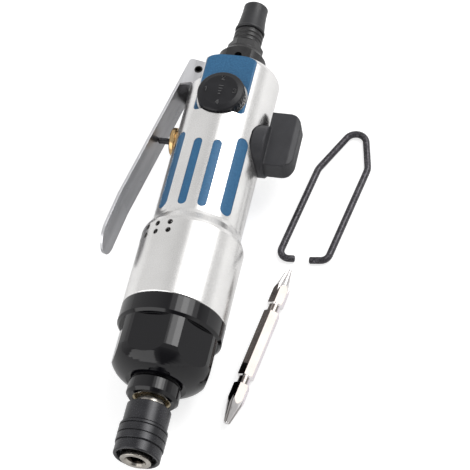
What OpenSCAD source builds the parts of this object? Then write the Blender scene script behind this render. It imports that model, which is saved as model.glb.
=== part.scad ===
// Pneumatic impact screwdriver with a throttle lever, a reverse lever, a speed dial and a bit chuck.
// Sizes are in millimetres. Y runs from the chuck mouth to the hose end, Z points to the dial side
// and X to the reverse lever side. A double ended bit and a wire hanger lie beside the tool.

/* [Chuck] */
// radius of the plain front band of the chuck sleeve
sleeve_r = 9.55; // [9:0.05:12]
// radius over the ribs of the chuck sleeve
sleeve_rib_r = 9.9; // [9.2:0.05:13]
// radius of the plain rear band of the chuck sleeve
sleeve_rear_r = 9.15; // [8.8:0.05:12]
// length of the chuck sleeve
sleeve_len = 22; // [20:0.5:24]
// start of the ribbed band
rib_start = 4.8; // [3:0.1:6]
// end of the ribbed band
rib_end = 12.9; // [11:0.1:16]
// stations of the two lines between the ribs
rib_lines = [8, 11.5]; // stations from the mouth
// width of a line between ribs
rib_line_w = 0.5; // [0.2:0.05:1]
// depth of a line between ribs
rib_line_depth = 0.45; // [0.1:0.05:0.8]
// inner radius of the sleeve round the spring
sleeve_cavity_r = 8.1; // [7.8:0.05:8.5]
// start of the inner land that holds the balls in
land_start = 11.5; // [10:0.1:12]
// end of the inner land
land_end = 15; // [14.5:0.1:16]
// station of the ball centres
ball_y = 13.2; // [12:0.1:14]
// radius of a chuck ball
ball_r = 1.75; // [1:0.05:2.5]
// size across the flats of the bit hexagon
hex_af = 6.35; // [6:0.05:7]
// play across the flats of the socket
hex_play = 0.1; // [0.05:0.01:0.3]
// thickness of the sleeve retaining ring and of its washer
chuck_ring_t = 0.8; // [0.5:0.1:1.5]
// front face of the retaining ring
chuck_ring_y = 2.2; // [1.8:0.1:3]

/* [Anvil] */
// front face of the anvil, a little in front of the mouth of the sleeve
anvil_y = -1.4; // [-3:0.1:1]
// radius of the anvil inside the sleeve
anvil_nose_r = 6.35; // [6:0.05:6.6]
// running radius of the anvil
anvil_r = 7; // [6.7:0.05:7.5]
// station of the step behind the sleeve land
anvil_step_y = 15.1; // [14.6:0.1:16.2]
// end of the hexagon socket
socket_end = 23; // [18:0.5:30]
// radius of the chamfered mouth of the socket
mouth_r = 4.1; // [3.9:0.1:5.5]
// depth of the groove of the sleeve retaining ring
clip_groove = 1; // [0.6:0.1:1.2]
// radius of the anvil neck between the sleeve and the housing
neck_r = 6.1; // [5:0.1:6.8]
// start of the anvil neck
neck_y = 20; // [17:0.1:21]
// end of the anvil neck
neck_end_y = 26.6; // [26:0.1:28]
// radius of the anvil thrust collar
thrust_r = 9; // [8:0.1:11]
// thickness of the anvil thrust collar
thrust_t = 1; // [0.6:0.1:1.5]
// radius of the anvil tail
tail_r = 5.9; // [5:0.1:6.2]
// radius over the two lobes of the anvil tail
lobe_r = 6.85; // [6.4:0.05:7]
// width of an anvil lobe
lobe_w = 5; // [3:0.1:7]

/* [Front housing] */
// front face of the nose collar
collar_y = 25.5; // [24:0.1:28]
// radius of the nose collar
collar_r = 10.8; // [9.5:0.1:12]
// end of the nose collar
collar_end = 31.9; // [28:0.1:33]
// chamfer along the front edge of the nose collar
collar_chamfer = 1.2; // [0.3:0.1:2]
// start of the round shoulder behind the collar
dome_y = 33; // [32.5:0.1:35]
// radius at the start of the round shoulder
dome_r = 12.6; // [10:0.1:14]
// station that pulls the shoulder curve
pull_y = 36; // [34:0.1:41]
// radius that pulls the shoulder curve
pull_r = 20; // [17:0.1:21]
// station where the shoulder is finished
dome_end = 41.8; // [41:0.1:50]
// radius over the corners of the spanner hexagon
hex_corner_r = 20.8; // [20:0.1:22]
// size across the flats of the spanner hexagon
hex_body_af = 38.6; // [36:0.1:41]
// turn of the spanner hexagon about the drive axis
hex_turn = -9.5; // [-30:0.5:30]
// front face of the joint ring
joint_y = 55.1; // [52:0.1:58]
// chamfer along the front edge of the joint ring
joint_chamfer = 1.1; // [0.4:0.1:2]
// depth of the groove behind the nose collar
collar_groove = 0.8; // [0.2:0.1:1.5]
// rear face of the joint ring, where the barrel starts
barrel_y = 63.7; // [60:0.1:68]
// end of the threaded spigot inside the barrel
spigot_end = 70; // [67:0.1:74]
// radius of the threaded spigot
spigot_r = 19.9; // [19:0.1:20.5]
// radius of the nose bore
nose_bore_r = 7.9; // [7.5:0.1:9.5]
// end of the nose bore
nose_bore_end = 36; // [34:0.1:38]
// radius of the first clutch room
clutch_room_r = 13; // [12:0.1:14]
// station where the clutch room widens
clutch_step = 39; // [38:0.1:41]
// radius of the wide clutch room
clutch_r = 16; // [15.5:0.1:17]
// end of the clutch room
clutch_end = 57.5; // [56:0.1:60]
// bore round the front end plate
plate_bore_r = 17.6; // [17.5:0.1:18]

/* [Barrel and grip] */
// outer radius of the barrel and of the joint ring
barrel_r = 21.9; // [20:0.1:25]
// end of the straight barrel
barrel_end = 98.5; // [90:0.5:110]
// start of the straight grip
grip_y = 105.5; // [98:0.5:120]
// radius of the grip
grip_r = 19.1; // [18:0.1:22]
// rear face of the grip
body_end = 187.2; // [180:0.1:200]
// radius of the rear edge
rear_edge_r = 3.2; // [1:0.1:6]
// motor bore of the barrel
motor_bore_r = 18.4; // [17.8:0.1:19.5]
// end of the motor bore
motor_bore_end = 101; // [98:0.5:106]
// radius of an exhaust hole
exhaust_r = 1.2; // [0.5:0.05:2]
// stations of the exhaust holes
exhaust_ys = [92.9, 96.8]; // stations from the mouth
// turn of the first column of exhaust holes
exhaust_turn = -15.6; // [-60:0.1:0]
// turn from one column to the next
exhaust_pitch = 16.5; // [10:0.1:30]
// number of exhaust hole columns
exhaust_columns = 4; // [1:1:8]
// turn of the two narrow inlays from the dial side
inlay_in_turn = 13; // [8:0.5:20]
// turn of the two wide inlays from the dial side
inlay_out_turn = 45.5; // [35:0.5:60]
// width of a narrow inlay
inlay_in_w = 3.9; // [2:0.1:6]
// width of a wide inlay
inlay_out_w = 5.8; // [3:0.1:8]
// start of the inlays
inlay_y = 107.4; // [100:0.1:120]
// end of the narrow inlays
inlay_in_end = 140.8; // [120:0.1:150]
// end of the wide inlays
inlay_out_end = 146; // [120:0.1:150]
// depth of the inlay pockets
inlay_depth = 1; // [0.5:0.1:2]

/* [Dial and panel] */
// height of the milled flat above the drive axis
flat_z = 15.4; // [13:0.1:18]
// thickness of the panel on the flat
panel_t = 0.5; // [0.3:0.1:1.5]
// length of the milled flat from the rear face of the grip
flat_len = 30.9; // [22:0.1:38]
// corner radius of the front wall
flat_corner_r = 2.3; // [0.5:0.1:4]
// distance of the dial axis from the rear face of the grip
dial_back = 22.75; // [16:0.05:28]
// radius of the dial
dial_r = 10.1; // [7:0.05:12]
// radius of the round recess for the dial
dial_seat_r = 10.65; // [7.5:0.05:12.5]
// width of bare metal between the recess and the panel
dial_margin = 0.4; // [0.05:0.05:0.6]
// height of the dial rim
dial_rim_z = 20.5; // [18:0.1:24]
// height of the dial top
dial_top_z = 21.3; // [18:0.1:25]
// radius of the dial top
dial_top_r = 7.6; // [5:0.1:10]
// radius of the regulator bore
regulator_r = 5; // [4:0.1:6]
// lower end of the regulator bore
regulator_floor = -6; // [-8:0.1:0]
// radius of the ring of dial detents
dial_detent_r = 7.6; // [6.5:0.1:8.5]
// depth of the dial detent pocket
dial_detent_depth = 5; // [3:0.1:6]
// side of the square on top of the regulator spool
dial_square = 4.4; // [3:0.1:6]
// height of the shoulder of the regulator spool
regulator_top = 13; // [12:0.1:14]
// radius of the neck of the regulator spool
regulator_neck_r = 3; // [2:0.1:4]
// height of the seal on the regulator spool
dial_seal_z = 10.5; // [8:0.1:12]
// reach of the flow notch past the middle of the regulator spool
notch_web = 1; // [0.5:0.1:3]

/* [Reverse lever] */
// distance of the reverse lever axis and of the throttle valve from the rear face of the grip
valve_back = 37.9; // [32:0.1:42]
// floor of the round recess for the boss
boss_floor = 15.4; // [14:0.1:17]
// radius of the boss
boss_r = 11.3; // [9:0.1:13]
// outer face of the boss
boss_end = 21.7; // [20:0.1:24]
// outer end of the wing
wing_end = 34; // [28:0.5:40]
// reach of the wing toward the nose
wing_front = 9.3; // [6:0.1:12]
// reach of the wing toward the hose
wing_rear = 17.7; // [10:0.1:25]
// thickness of the wing
wing_t = 9.5; // [5:0.1:12]
// corner radius of the wing
wing_corner_r = 5.5; // [2:0.1:7]
// bevel along the outer edges of the wing
wing_bevel = 2.2; // [1:0.1:4]
// radius of the reverse valve bore
spool_bore_r = 6; // [5:0.1:7]
// inner end of the reverse valve bore
spool_floor = 1; // [0.5:0.1:3]
// distance of the detent ball from the reverse lever axis
detent_r = 8.4; // [7:0.1:9]
// depth of the reverse detent pocket
detent_depth = 6; // [4:0.1:7]
// side of the square of the reverse spool
spool_square = 4.9; // [3:0.1:6]
// radius of the neck of the reverse spool
spool_neck_r = 3.4; // [2.5:0.1:4]
// length of the neck of the reverse spool inside the bore
spool_neck_len = 2; // [1.9:0.1:3]
// distance of the seal on the reverse spool from the drive axis
spool_seal_x = 10.9; // [10:0.1:12]
// cover over the square of a spool
cap_t = 1; // [0.6:0.1:2]
// thickness of the web between the flow pockets of the reverse spool
spool_web_t = 2.4; // [1.5:0.1:4]
// length of the flow pockets of the reverse spool
spool_pocket_len = 6.4; // [4:0.1:7]
// thickness of the clip that keeps the reverse spool in
clip_t = 0.7; // [0.5:0.05:1]
// distance of the clip from the recess floor
clip_back = 0.9; // [0.5:0.05:1.2]
// inner radius of the clip
clip_in_r = 4.2; // [3.8:0.1:4.5]
// gap between the ends of a clip
clip_gap = 3; // [1:0.1:4]

/* [Throttle lever and valve] */
// distance of the hinge pin from the drive axis
hinge_x = 15.9; // [14:0.1:18]
// distance of the hinge pin from the rear face of the grip
hinge_back = 4.2; // [3:0.1:8]
// radius of the hinge pin
hinge_r = 1.75; // [1.2:0.05:2.2]
// slope of the released lever
lever_slope = 11.4; // [8:0.1:14]
// width of the lever
lever_w = 17; // [12:0.1:24]
// thickness of the lever plate
plate_t = 1.2; // [0.8:0.1:2]
// height of the lever face over the hinge pin
face_h = 5.9; // [5:0.1:8]
// distance from the hinge pin to the centre of the round tip
tip_t = 86; // [60:0.5:100]
// height of the lever face at the round tip
tip_h = 4.8; // [3:0.1:6]
// height of the lever face at the end of the tip
tip_end_h = 3.8; // [2:0.1:6]
// distance from the hinge pin at which the face starts to fall
fall_t = 70; // [50:0.5:80]
// wall of the spring pin
pin_wall = 0.45; // [0.3:0.05:1]
// reach of the lever ears behind the hinge pin
ear_rear = 4.6; // [3:0.1:6]
// reach of the lever ears in front of the hinge pin at the plate
ear_front = 9.4; // [6:0.1:14]
// reach of the lever ears in front of the hinge pin at their inner edge
ear_inner = 5; // [3:0.1:8]
// reach of the lever ears past the hinge pin toward the drive axis
ear_drop = 2.6; // [2:0.1:3.5]
// corner radius of the lever ears
ear_corner_r = 1.6; // [0.5:0.1:3]
// distance of the flat for the lever from the drive axis
lever_flat_x = 17.4; // [16:0.1:18.5]
// length of the flat for the lever from the rear face of the grip
lever_flat_len = 48.2; // [40:0.1:60]
// length of the pockets for the lever ears from the rear face of the grip
ear_pocket_len = 13.2; // [10:0.1:16]
// distance of the pocket floor from the drive axis
ear_pocket_x = 11.6; // [9:0.1:13]
// radius of the brass valve bushing
gland_r = 6.3; // [5.5:0.1:8]
// outer face of the valve bushing
gland_x = 21.1; // [20:0.1:24]
// thickness of the rim of the valve bushing
gland_t = 2.2; // [1:0.1:3]
// wall of the valve bushing round the spring room
bushing_wall = 2; // [1:0.1:3]
// depth of the outlet groove round the valve bushing
outlet_groove = 1; // [0.5:0.1:1.5]
// thickness of the valve spring
spring_t = 0.7; // [0.4:0.1:1]
// radius of the throttle valve bore
throttle_bore_r = 5.2; // [4:0.1:6]
// inner end of the throttle valve bore
throttle_floor = 1; // [0.5:0.1:3]
// inner face of the valve bushing, where the poppet seals
seat_x = 9.2; // [8:0.1:11]
// radius of the valve stem
stem_r = 1.35; // [1:0.05:2]
// outer end of the valve stem
stem_x = 27.2; // [24:0.1:30]

/* [Hose end] */
// radius of the inlet flange
flange_r = 10.6; // [9:0.1:13]
// length of the inlet flange
flange_len = 9; // [5:0.1:12]
// half the size across the two spanner flats
spanner_h = 9.1; // [7:0.1:10]
// distance of the two spanner flats from the rear face of the grip
spanner_back = 2.5; // [1:0.1:5]
// distance of the hanger holes from the rear face of the grip
hanger_back = 5.2; // [4:0.1:7]
// radius of a hanger hole
hanger_hole_r = 1.65; // [1:0.05:2.2]
// bottom of a hanger hole above the drive axis
hanger_hole_floor = 3.4; // [3:0.1:5]
// length of the flared neck
flare_len = 7.5; // [5:0.1:12]
// size across the flats of the hose nut
nut_af = 13.8; // [12:0.1:16]
// distance of the nut facets from the end of the inlet flange
nut_back = 3.4; // [2:0.1:4]
// turn of the hose nut about the drive axis
nut_turn = 11; // [0:1:59]
// radius of the ribs of the hose nipple
nipple_r = 6.5; // [6:0.1:8]
// number of ribs of the hose nipple
rib_count = 3; // [2:1:5]
// length of the ribbed part of the hose nipple
ribs_len = 7.5; // [5:0.1:12]
// radius of the bore of the hose nipple
nipple_bore_r = 3; // [2:0.1:3.5]
// length of the hose nipple inside the hose sleeve
nipple_lap = 3; // [2:0.1:6]
// radius of the hose sleeve rim
hose_rim_r = 6.7; // [6:0.1:8]
// radius of the hose sleeve at its end
hose_end_r = 5.5; // [5:0.1:7]
// length of the hose sleeve
hose_sleeve_len = 14.3; // [11:0.1:30]
// width of the rim of the hose sleeve
hose_rim_w = 1; // [0.5:0.1:2]
// length of the straight end of the hose sleeve
hose_tail_len = 4; // [2:0.1:5]
// radius of the hose bore
hose_bore_r = 4; // [3:0.1:5]
// radius of the inlet thread
inlet_r = 6.5; // [6:0.1:8]
// depth of the inlet thread bore
inlet_depth = 9.2; // [6:0.1:12]
// room for the seal at the bottom of the inlet thread bore
inlet_room = 2; // [1:0.1:3]
// metal between the air way and a hanger hole
airway_wall = 1; // [0.5:0.1:2]
// reach of the strainer from its rim
strainer_len = 5.2; // [3:0.1:8]
// radius of the strainer at its tip
strainer_r = 1; // [0.5:0.1:2]
// wall of the strainer
strainer_t = 0.3; // [0.2:0.05:0.5]

/* [Air passages and small parts] */
// distance of the supply passage from the drive axis
supply_x = 4; // [3:0.1:5]
// radius of the supply passage
supply_r = 3; // [2:0.1:3.2]
// distance of the outlet passage from the drive axis
outlet_x = 11.6; // [11:0.1:12]
// radius of the outlet passage
outlet_r = 1.8; // [1:0.1:2]
// distance of the cross passage in front of the throttle valve
outlet_back = 11.3; // [8:0.1:12]
// distance of the passage into the reverse valve from the drive axis
link_x = 6; // [4:0.1:8]
// radius of the section of the small seals
ring_section_r = 0.4; // [0.3:0.05:0.5]
// radius of a detent ball
ball_small_r = 1.2; // [0.8:0.1:1.4]
// radius of the section of a detent track
detent_track_r = 1.5; // [1.2:0.1:1.7]
// wall of a detent spring
detent_spring_t = 0.6; // [0.3:0.1:0.8]
// thickness of the flange of the valve poppet
poppet_t = 1.2; // [0.8:0.1:2]
// step of the valve poppet and of the outlet groove below the throttle bore
poppet_step = 1; // [0.6:0.1:1.5]

/* [Bit and hanger] */
// length of the bit
bit_len = 75; // [50:1:100]
// centre of the bit on the ground
bit_at = [33.2, 66]; // X and Y of the middle of the bit
// turn of the bit about its own axis
bit_roll = 30; // [0:1:30]
// half the thickness of the core between the flutes
flute_core = 0.75; // [0.5:0.05:1.2]
// turn of the bit on the ground
bit_turn = -8.5; // [-45:0.5:45]
// radius of the two ball grooves of the bit
bit_neck_r = 2.55; // [2:0.05:3]
// radius of the bit point
tip_r = 1.1; // [0.8:0.1:1.6]
// length of the tapered point
tip_len = 10.8; // [8:0.1:14]
// slope of the flute floors
flute_slope = 12; // [8:0.5:20]
// start of the ball groove behind each point
groove_y = 18; // [14:0.1:22]
// length of the ball groove
groove_len = 4; // [3:0.1:6]
// diameter of the hanger wire
wire_d = 3; // [2:0.1:4]
// foot of the hanger on the ground
hanger_at = [42.6, 112.15]; // X and Y between the two legs
// turn of the hanger on the ground
hanger_turn = -10.3; // [-45:0.1:45]
// half the distance between the hanger legs
leg_u = 10.35; // [8:0.05:14]
// bend radius of the hanger hooks and elbows
bend_r = 3.8; // [2.5:0.1:5]
// distance of the hook ends from the middle of the hanger
hook_u = 3; // [1:0.1:6]
// corners between the hooks and the legs along the hanger
foot_vs = [-4.2, 1.2]; // one value for each leg
// corners between the legs and the roof along the hanger
elbow_vs = [43.6, 50.1]; // one value for each leg
// slopes of the two roof sides against the legs
roof_slopes = [17.6, 23.5]; // one value for each leg
// slopes of the hooks, seen from the middle of the hanger
hook_slopes = [-14, 18]; // one value for each leg
// radius of the hanger apex
apex_r = 4.8; // [2:0.1:8]

/* [Motor] */
// front face of the front end plate
front_plate_y = 58; // [57.6:0.1:60]
// front face of the cylinder
cylinder_y = 64; // [62:0.1:66]
// rear face of the cylinder
cylinder_end = 93; // [88:0.5:96]
// outer radius of the cylinder
cylinder_r = 17.4; // [16.5:0.1:17.5]
// bore radius of the cylinder
cylinder_bore_r = 14.8; // [13:0.1:15]
// offset of the cylinder bore from the drive axis
bore_offset = 1.4; // [0.5:0.1:1.8]
// radius of the rotor
rotor_r = 13.2; // [12:0.1:13.3]
// number of vanes
vane_count = 5; // [4:1:6]
// thickness of a vane
vane_t = 1.6; // [1:0.1:2.5]
// inner edge of the vanes
vane_in = 6.9; // [6:0.1:9]
// radius of the front rotor shaft
front_shaft_r = 4.98; // [4:0.01:6]
// outer radius of the front bearing
front_bearing_r = 9.5; // [8:0.1:11]
// radius of the rear rotor shaft
rear_shaft_r = 2.48; // [2:0.01:4]
// outer radius of the rear bearing
rear_bearing_r = 7; // [6:0.1:8]
// radius of the dowel pin
dowel_r = 1.2; // [0.8:0.1:1.5]
// distance of the feed holes from the drive axis in X
feed_x = 8.6; // [7:0.1:10]
// distance of the feed holes from the drive axis in Z
feed_z = 4.8; // [4:0.1:5.5]
// radius of the feed holes
feed_r = 1.8; // [1:0.1:2.5]
// depth of the grooves that lead the air to the rotor
feed_groove = 1.2; // [0.5:0.1:2]
// inner end of the air grooves
feed_groove_in = 9; // [8:0.1:10]
// outer end of the air grooves
feed_groove_out = 14.5; // [12:0.1:14.7]
// thickness of the gasket behind the motor
gasket_t = 0.5; // [0.3:0.1:1]
// thickness of the rim of the rear end plate
plate_rim_t = 1.5; // [1:0.1:3]
// thickness of an end plate beside the rotor
plate_web_t = 1.5; // [0.8:0.1:2]
// width of both bearings
bearing_w = 5; // [4:0.1:5.2]
// thickness of a bearing race
race_t = 1.4; // [0.8:0.1:1.5]
// length of the rear rotor shaft
rear_shaft_len = 6.4; // [5:0.1:6.8]
// radius of an exhaust port of the cylinder
port_r = 1.4; // [0.8:0.1:2]
// number of exhaust ports of the cylinder
port_count = 5; // [3:1:8]
// cover of the dowel pin at each end
dowel_cover = 2; // [1:0.1:3]

/* [Clutch] */
// radius of the hammer cage
cage_r = 15.2; // [14.5:0.1:15.6]
// front face of the hammer cage
cage_y = 39.4; // [39.2:0.1:41]
// thickness of the front disc of the cage
cage_front_t = 2; // [1.5:0.1:3]
// front face of the rear disc of the cage
cage_rear_y = 54.1; // [52:0.1:55]
// rear face of the hammer cage
cage_end = 57; // [56:0.1:57.3]
// radius of a hammer
hammer_r = 13.4; // [12:0.1:13.8]
// radius of the opening in a hammer
hammer_open_r = 7.6; // [7:0.1:8]
// radius over the dogs in the hammer opening
dog_r = 7.45; // [7.4:0.01:7.6]
// radius of a hammer pin
hammer_pin_r = 2; // [1.5:0.1:2.5]
// distance of the hammer pins from the drive axis
hammer_pin_at = 11.6; // [10:0.1:12]
// thickness of the webs of the hammer cage
cage_web_t = 0.8; // [0.5:0.1:1.2]
// width of the webs of the hammer cage
cage_web_w = 10; // [6:0.5:14]
// lower edge of the dogs above the drive axis
dog_low = 2; // [1:0.1:4]
// room beside the second hammer pin for the swing
swing_room = 1.3; // [1:0.1:2]

/* [Hidden] */
$fn = 96;
quarter_turn = 90;
half_turn = 180;
full_turn = 360;
six = 6;
half_share = 0.5;
gap = 0.3;
slip = 0.05;
over = 1;
far = 60;
body_far = 240;
chamfer = 0.4;
small_chamfer = 0.2;
steps = 12;
cove_share = 0.25;
drop_share = 0.17;
wire_sides = 16;
bend_turn = 15;
third_turn = 30;
hex_corner_share = cos(third_turn);
ground_z = -barrel_r;
flat_y = body_end - flat_len;
dial_y = body_end - dial_back;
valve_y = body_end - valve_back;
hinge_y = body_end - hinge_back;
lever_flat_y = body_end - lever_flat_len;
ear_pocket_y = body_end - ear_pocket_len;
inlet_floor = body_end - inlet_depth;
flange_end = body_end + flange_len;
spanner_y = body_end + spanner_back;
hanger_y = body_end + hanger_back;
thread_y = hanger_y + hanger_hole_r + airway_wall;
neck_end = flange_end + flare_len;
nut_y = flange_end + nut_back;
nut_r = nut_af / 2 / hex_corner_share + gap;
hose_sleeve_y = neck_end + ribs_len;
hose_end = hose_sleeve_y + hose_sleeve_len;
wire_r = wire_d / 2;
bit_z = ground_z + hex_af / 2 / hex_corner_share * cos(third_turn - bit_roll);
bit_r = hex_af / 2 / hex_corner_share;
socket_af = hex_af + hex_play;
ball_at = socket_af / 2 - gap + ball_r;
sleeve_bore_r = anvil_nose_r + 2 * slip;
washer_y = chuck_ring_y + chuck_ring_t;
spring_y = washer_y + chuck_ring_t;
bushing_r = anvil_r + slip;
bushing_y = collar_y + gap;
panel_z = flat_z + panel_t;
panel_gap = 0.1;
throttle_wall_r = lever_w / 2 - plate_t;
lug_h = throttle_wall_r - 2 * slip;
inlet_bore_r = inlet_r + 2 * slip;
outlet_y = valve_y - outlet_back;
spool_r = spool_bore_r - slip;
hammer_y = cage_y + cage_front_t + gap;
hammer_len = (cage_rear_y - hammer_y - 2 * gap) / 2;
vane_slot_t = vane_t + 2 * slip;
dowel_z = -(cylinder_r + cylinder_bore_r - bore_offset) / 2;
rear_bearing_y = cylinder_end + plate_web_t;
seal_groove_w = 1;
feed_turn = atan2(feed_z, feed_x);

// form turned about the drive axis from points of radius and station
module turned(points) {
    rotate([-quarter_turn, 0, 0]) rotate_extrude() polygon(points);
}

// disc on the drive axis between two stations
module disc(y0, y1, r) {
    translate([0, y0, 0]) rotate([-quarter_turn, 0, 0]) cylinder(h = y1 - y0, r = r);
}

// ring on the drive axis between two stations
module ring(y0, y1, r_out, r_in) {
    difference() {
        disc(y0, y1, r_out);
        disc(y0 - over, y1 + over, r_in);
    }
}

// cylinder along X between two distances
module rod_x(x0, x1, r) {
    translate([x0, 0, 0]) rotate([0, quarter_turn, 0]) cylinder(h = x1 - x0, r = r);
}

// form turned about X from points of radius and distance
module turned_x(points) {
    rotate([0, quarter_turn, 0]) rotate_extrude() polygon(points);
}

// hexagonal prism on the drive axis with flats facing up and down
module hex_rod(y0, y1, af) {
    translate([0, y0, 0]) rotate([-quarter_turn, 0, 0])
        cylinder(h = y1 - y0, r = af / 2 / hex_corner_share, $fn = six);
}

// box from its lower corner to its upper corner
module box(low, high) {
    translate(low) cube(high - low);
}

// slot shape along Y, centred on X
module stadium(y0, y1, w) {
    r = w / 2;
    translate([-r, y0 + r]) square([w, y1 - y0 - w]);
    translate([0, y0 + r]) circle(r);
    translate([0, y1 - r]) circle(r);
}

// outside of the barrel and grip, made smaller all round by an inset
module outer_form(inset) {
    edge = body_end - rear_edge_r;
    arc = [for (i = [0:steps]) let (a = quarter_turn * i / steps)
        [grip_r - rear_edge_r + (rear_edge_r - inset) * cos(a), edge + (rear_edge_r - inset) * sin(a)]];
    cove = (grip_y - barrel_end) * cove_share;
    drop = (barrel_r - grip_r) * drop_share;
    turned(concat([
        [0, barrel_y + slip],
        [barrel_r - chamfer - inset, barrel_y + slip],
        [barrel_r - inset, barrel_y + slip + chamfer],
        [barrel_r - inset, barrel_end],
        [barrel_r - drop - inset, barrel_end + cove],
        [grip_r + drop - inset, grip_y - cove],
        [grip_r - inset, grip_y]], arc, [[0, body_end - inset]]));
}

// plan of the milled flat under the panel, made smaller all round by an inset
module flat_plan(inset) {
    w = grip_r - inset;
    r = flat_corner_r;
    chord = sqrt(grip_r * grip_r - flat_z * flat_z) - inset;
    translate([-chord + r, flat_y + inset]) square([2 * chord - 2 * r, far]);
    translate([-w, flat_y + r]) square([2 * w, far]);
    translate([chord - r, flat_y + r + inset]) circle(r);
    translate([r - chord, flat_y + r + inset]) circle(r);
}

// the inlay pockets of one side, with a play all round and a floor depth
module inlay_bars(play, r_in) {
    for (side = [-1, 1]) {
        rotate([0, side * inlay_in_turn, 0]) translate([0, 0, r_in]) linear_extrude(over + inlay_depth)
            stadium(inlay_y + play, inlay_in_end - play, inlay_in_w - 2 * play);
        rotate([0, side * inlay_out_turn, 0]) translate([0, 0, r_in]) linear_extrude(over + inlay_depth)
            stadium(inlay_y + play, inlay_out_end - play, inlay_out_w - 2 * play);
    }
}

// air passages inside the solid part of the grip
module air_passages() {
    // supply from the hose end to the throttle valve
    translate([-supply_x, 0, 0]) disc(valve_y, inlet_floor + over, supply_r);
    // outlet of the throttle valve, round to the reverse valve
    translate([-outlet_x, 0, 0]) disc(outlet_y, valve_y, outlet_r);
    translate([0, outlet_y, 0]) rod_x(-outlet_x, link_x, outlet_r);
    translate([link_x, 0, 0]) disc(outlet_y, valve_y, outlet_r);
    // two feeds from the reverse valve to the motor
    for (side = [-1, 1]) {
        translate([feed_x, 0, side * feed_z]) disc(motor_bore_end - over, valve_y, feed_r);
    }
    // bores of the two valves and of the regulator
    translate([0, valve_y, 0]) rod_x(-far, -throttle_floor, throttle_bore_r);
    translate([0, valve_y, 0]) rod_x(spool_floor, far, spool_bore_r);
    translate([0, dial_y, regulator_floor]) cylinder(h = far, r = regulator_r);
}

module body_housing() {
    color([0.82, 0.82, 0.8]) difference() {
        outer_form(0);
        disc(barrel_y - over, motor_bore_end, motor_bore_r);
        disc(barrel_y - over, spigot_end + gap, spigot_r + 2 * slip);
        // exhaust holes
        for (column = [0:exhaust_columns - 1]) {
            for (y = exhaust_ys) {
                rotate([0, exhaust_turn - column * exhaust_pitch, 0]) translate([0, y, motor_bore_r - over])
                    cylinder(h = far, r = exhaust_r);
            }
        }
        // inlay pockets on the dial side and on the far side
        inlay_bars(0, grip_r - inlay_depth);
        rotate([0, half_turn, 0]) inlay_bars(0, grip_r - inlay_depth);
        // milled flat with the round seat of the dial
        translate([0, 0, flat_z]) linear_extrude(far) flat_plan(0);
        translate([0, dial_y, flat_z]) cylinder(h = far, r = dial_seat_r);
        // flat for the lever, and the pockets beside the hinge lug
        box([-far, lever_flat_y, -far], [-lever_flat_x, ear_pocket_y, far]);
        for (side = [-1, 1]) {
            translate([-far, ear_pocket_y, side * (lug_h + far / 2) - far / 2])
                cube([far - ear_pocket_x, far, far]);
        }
        translate([-hinge_x, hinge_y, -far]) cylinder(h = 2 * far, r = hinge_r);
        // round recess of the reverse lever
        translate([0, valve_y, 0]) rod_x(boss_floor, far, boss_r + gap);
        // groove of the clip that keeps the reverse spool in
        translate([0, valve_y, 0]) rod_x(boss_floor - clip_back - clip_t - 2 * slip,
            boss_floor - clip_back + 2 * slip, spool_bore_r + gap);
        // pockets of the two detents
        translate([0, valve_y - detent_r, 0]) rod_x(boss_floor - detent_depth, far, ball_small_r + slip);
        translate([0, dial_y - dial_detent_r, flat_z - dial_detent_depth])
            cylinder(h = far, r = ball_small_r + slip);
        // inlet thread bore
        disc(inlet_floor, body_far, inlet_bore_r);
        air_passages();
    }
}

module regulator_panel() {
    color([0.1, 0.35, 0.65]) intersection() {
        outer_form(panel_gap);
        translate([0, 0, flat_z]) linear_extrude(panel_t) difference() {
            flat_plan(panel_gap);
            translate([0, dial_y]) circle(dial_seat_r + dial_margin);
        }
    }
}

// inlays of the dial side only
module inlays_one_side() {
    intersection() {
        inlay_bars(slip, grip_r - inlay_depth);
        disc(inlay_y, inlay_out_end, grip_r - 3 * slip);
    }
}

module grip_inlays() {
    color([0.1, 0.35, 0.65]) {
        inlays_one_side();
        rotate([0, half_turn, 0]) inlays_one_side();
    }
}

module front_housing() {
    curve = [for (i = [0:steps]) let (t = i / steps)
        [(1 - t) * (1 - t) * dome_r + 2 * t * (1 - t) * pull_r + t * t * hex_corner_r,
         (1 - t) * (1 - t) * dome_y + 2 * t * (1 - t) * pull_y + t * t * dome_end]];
    color([0.06, 0.06, 0.07]) difference() {
        union() {
            intersection() {
                turned(concat([
                    [0, collar_y],
                    [collar_r - collar_chamfer, collar_y],
                    [collar_r, collar_y + collar_chamfer],
                    [collar_r, collar_end - small_chamfer],
                    [collar_r - small_chamfer, collar_end],
                    [collar_r - collar_groove, collar_end],
                    [collar_r - collar_groove, dome_y]], curve, [[hex_corner_r, joint_y + over], [0, joint_y + over]]));
                rotate([0, hex_turn, 0]) hex_rod(collar_y, joint_y + over, hex_body_af);
            }
            turned([[0, joint_y], [barrel_r - joint_chamfer, joint_y], [barrel_r, joint_y + joint_chamfer],
                [barrel_r, barrel_y - small_chamfer], [barrel_r - small_chamfer, barrel_y],
                [spigot_r, barrel_y], [spigot_r, spigot_end], [0, spigot_end]]);
        }
        disc(collar_y - over, nose_bore_end + over, nose_bore_r);
        disc(nose_bore_end, clutch_step + over, clutch_room_r);
        disc(clutch_step, clutch_end + over, clutch_r);
        disc(clutch_end, spigot_end + over, plate_bore_r);
    }
}

module housing_gasket() {
    color([0.1, 0.1, 0.1]) difference() {
        ring(motor_bore_end - gasket_t, motor_bore_end, motor_bore_r - gap, rear_bearing_r + slip / 2);
        for (side = [-1, 1]) {
            translate([feed_x, 0, side * feed_z]) disc(motor_bore_end - over, motor_bore_end + over, feed_r);
        }
    }
}

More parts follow.
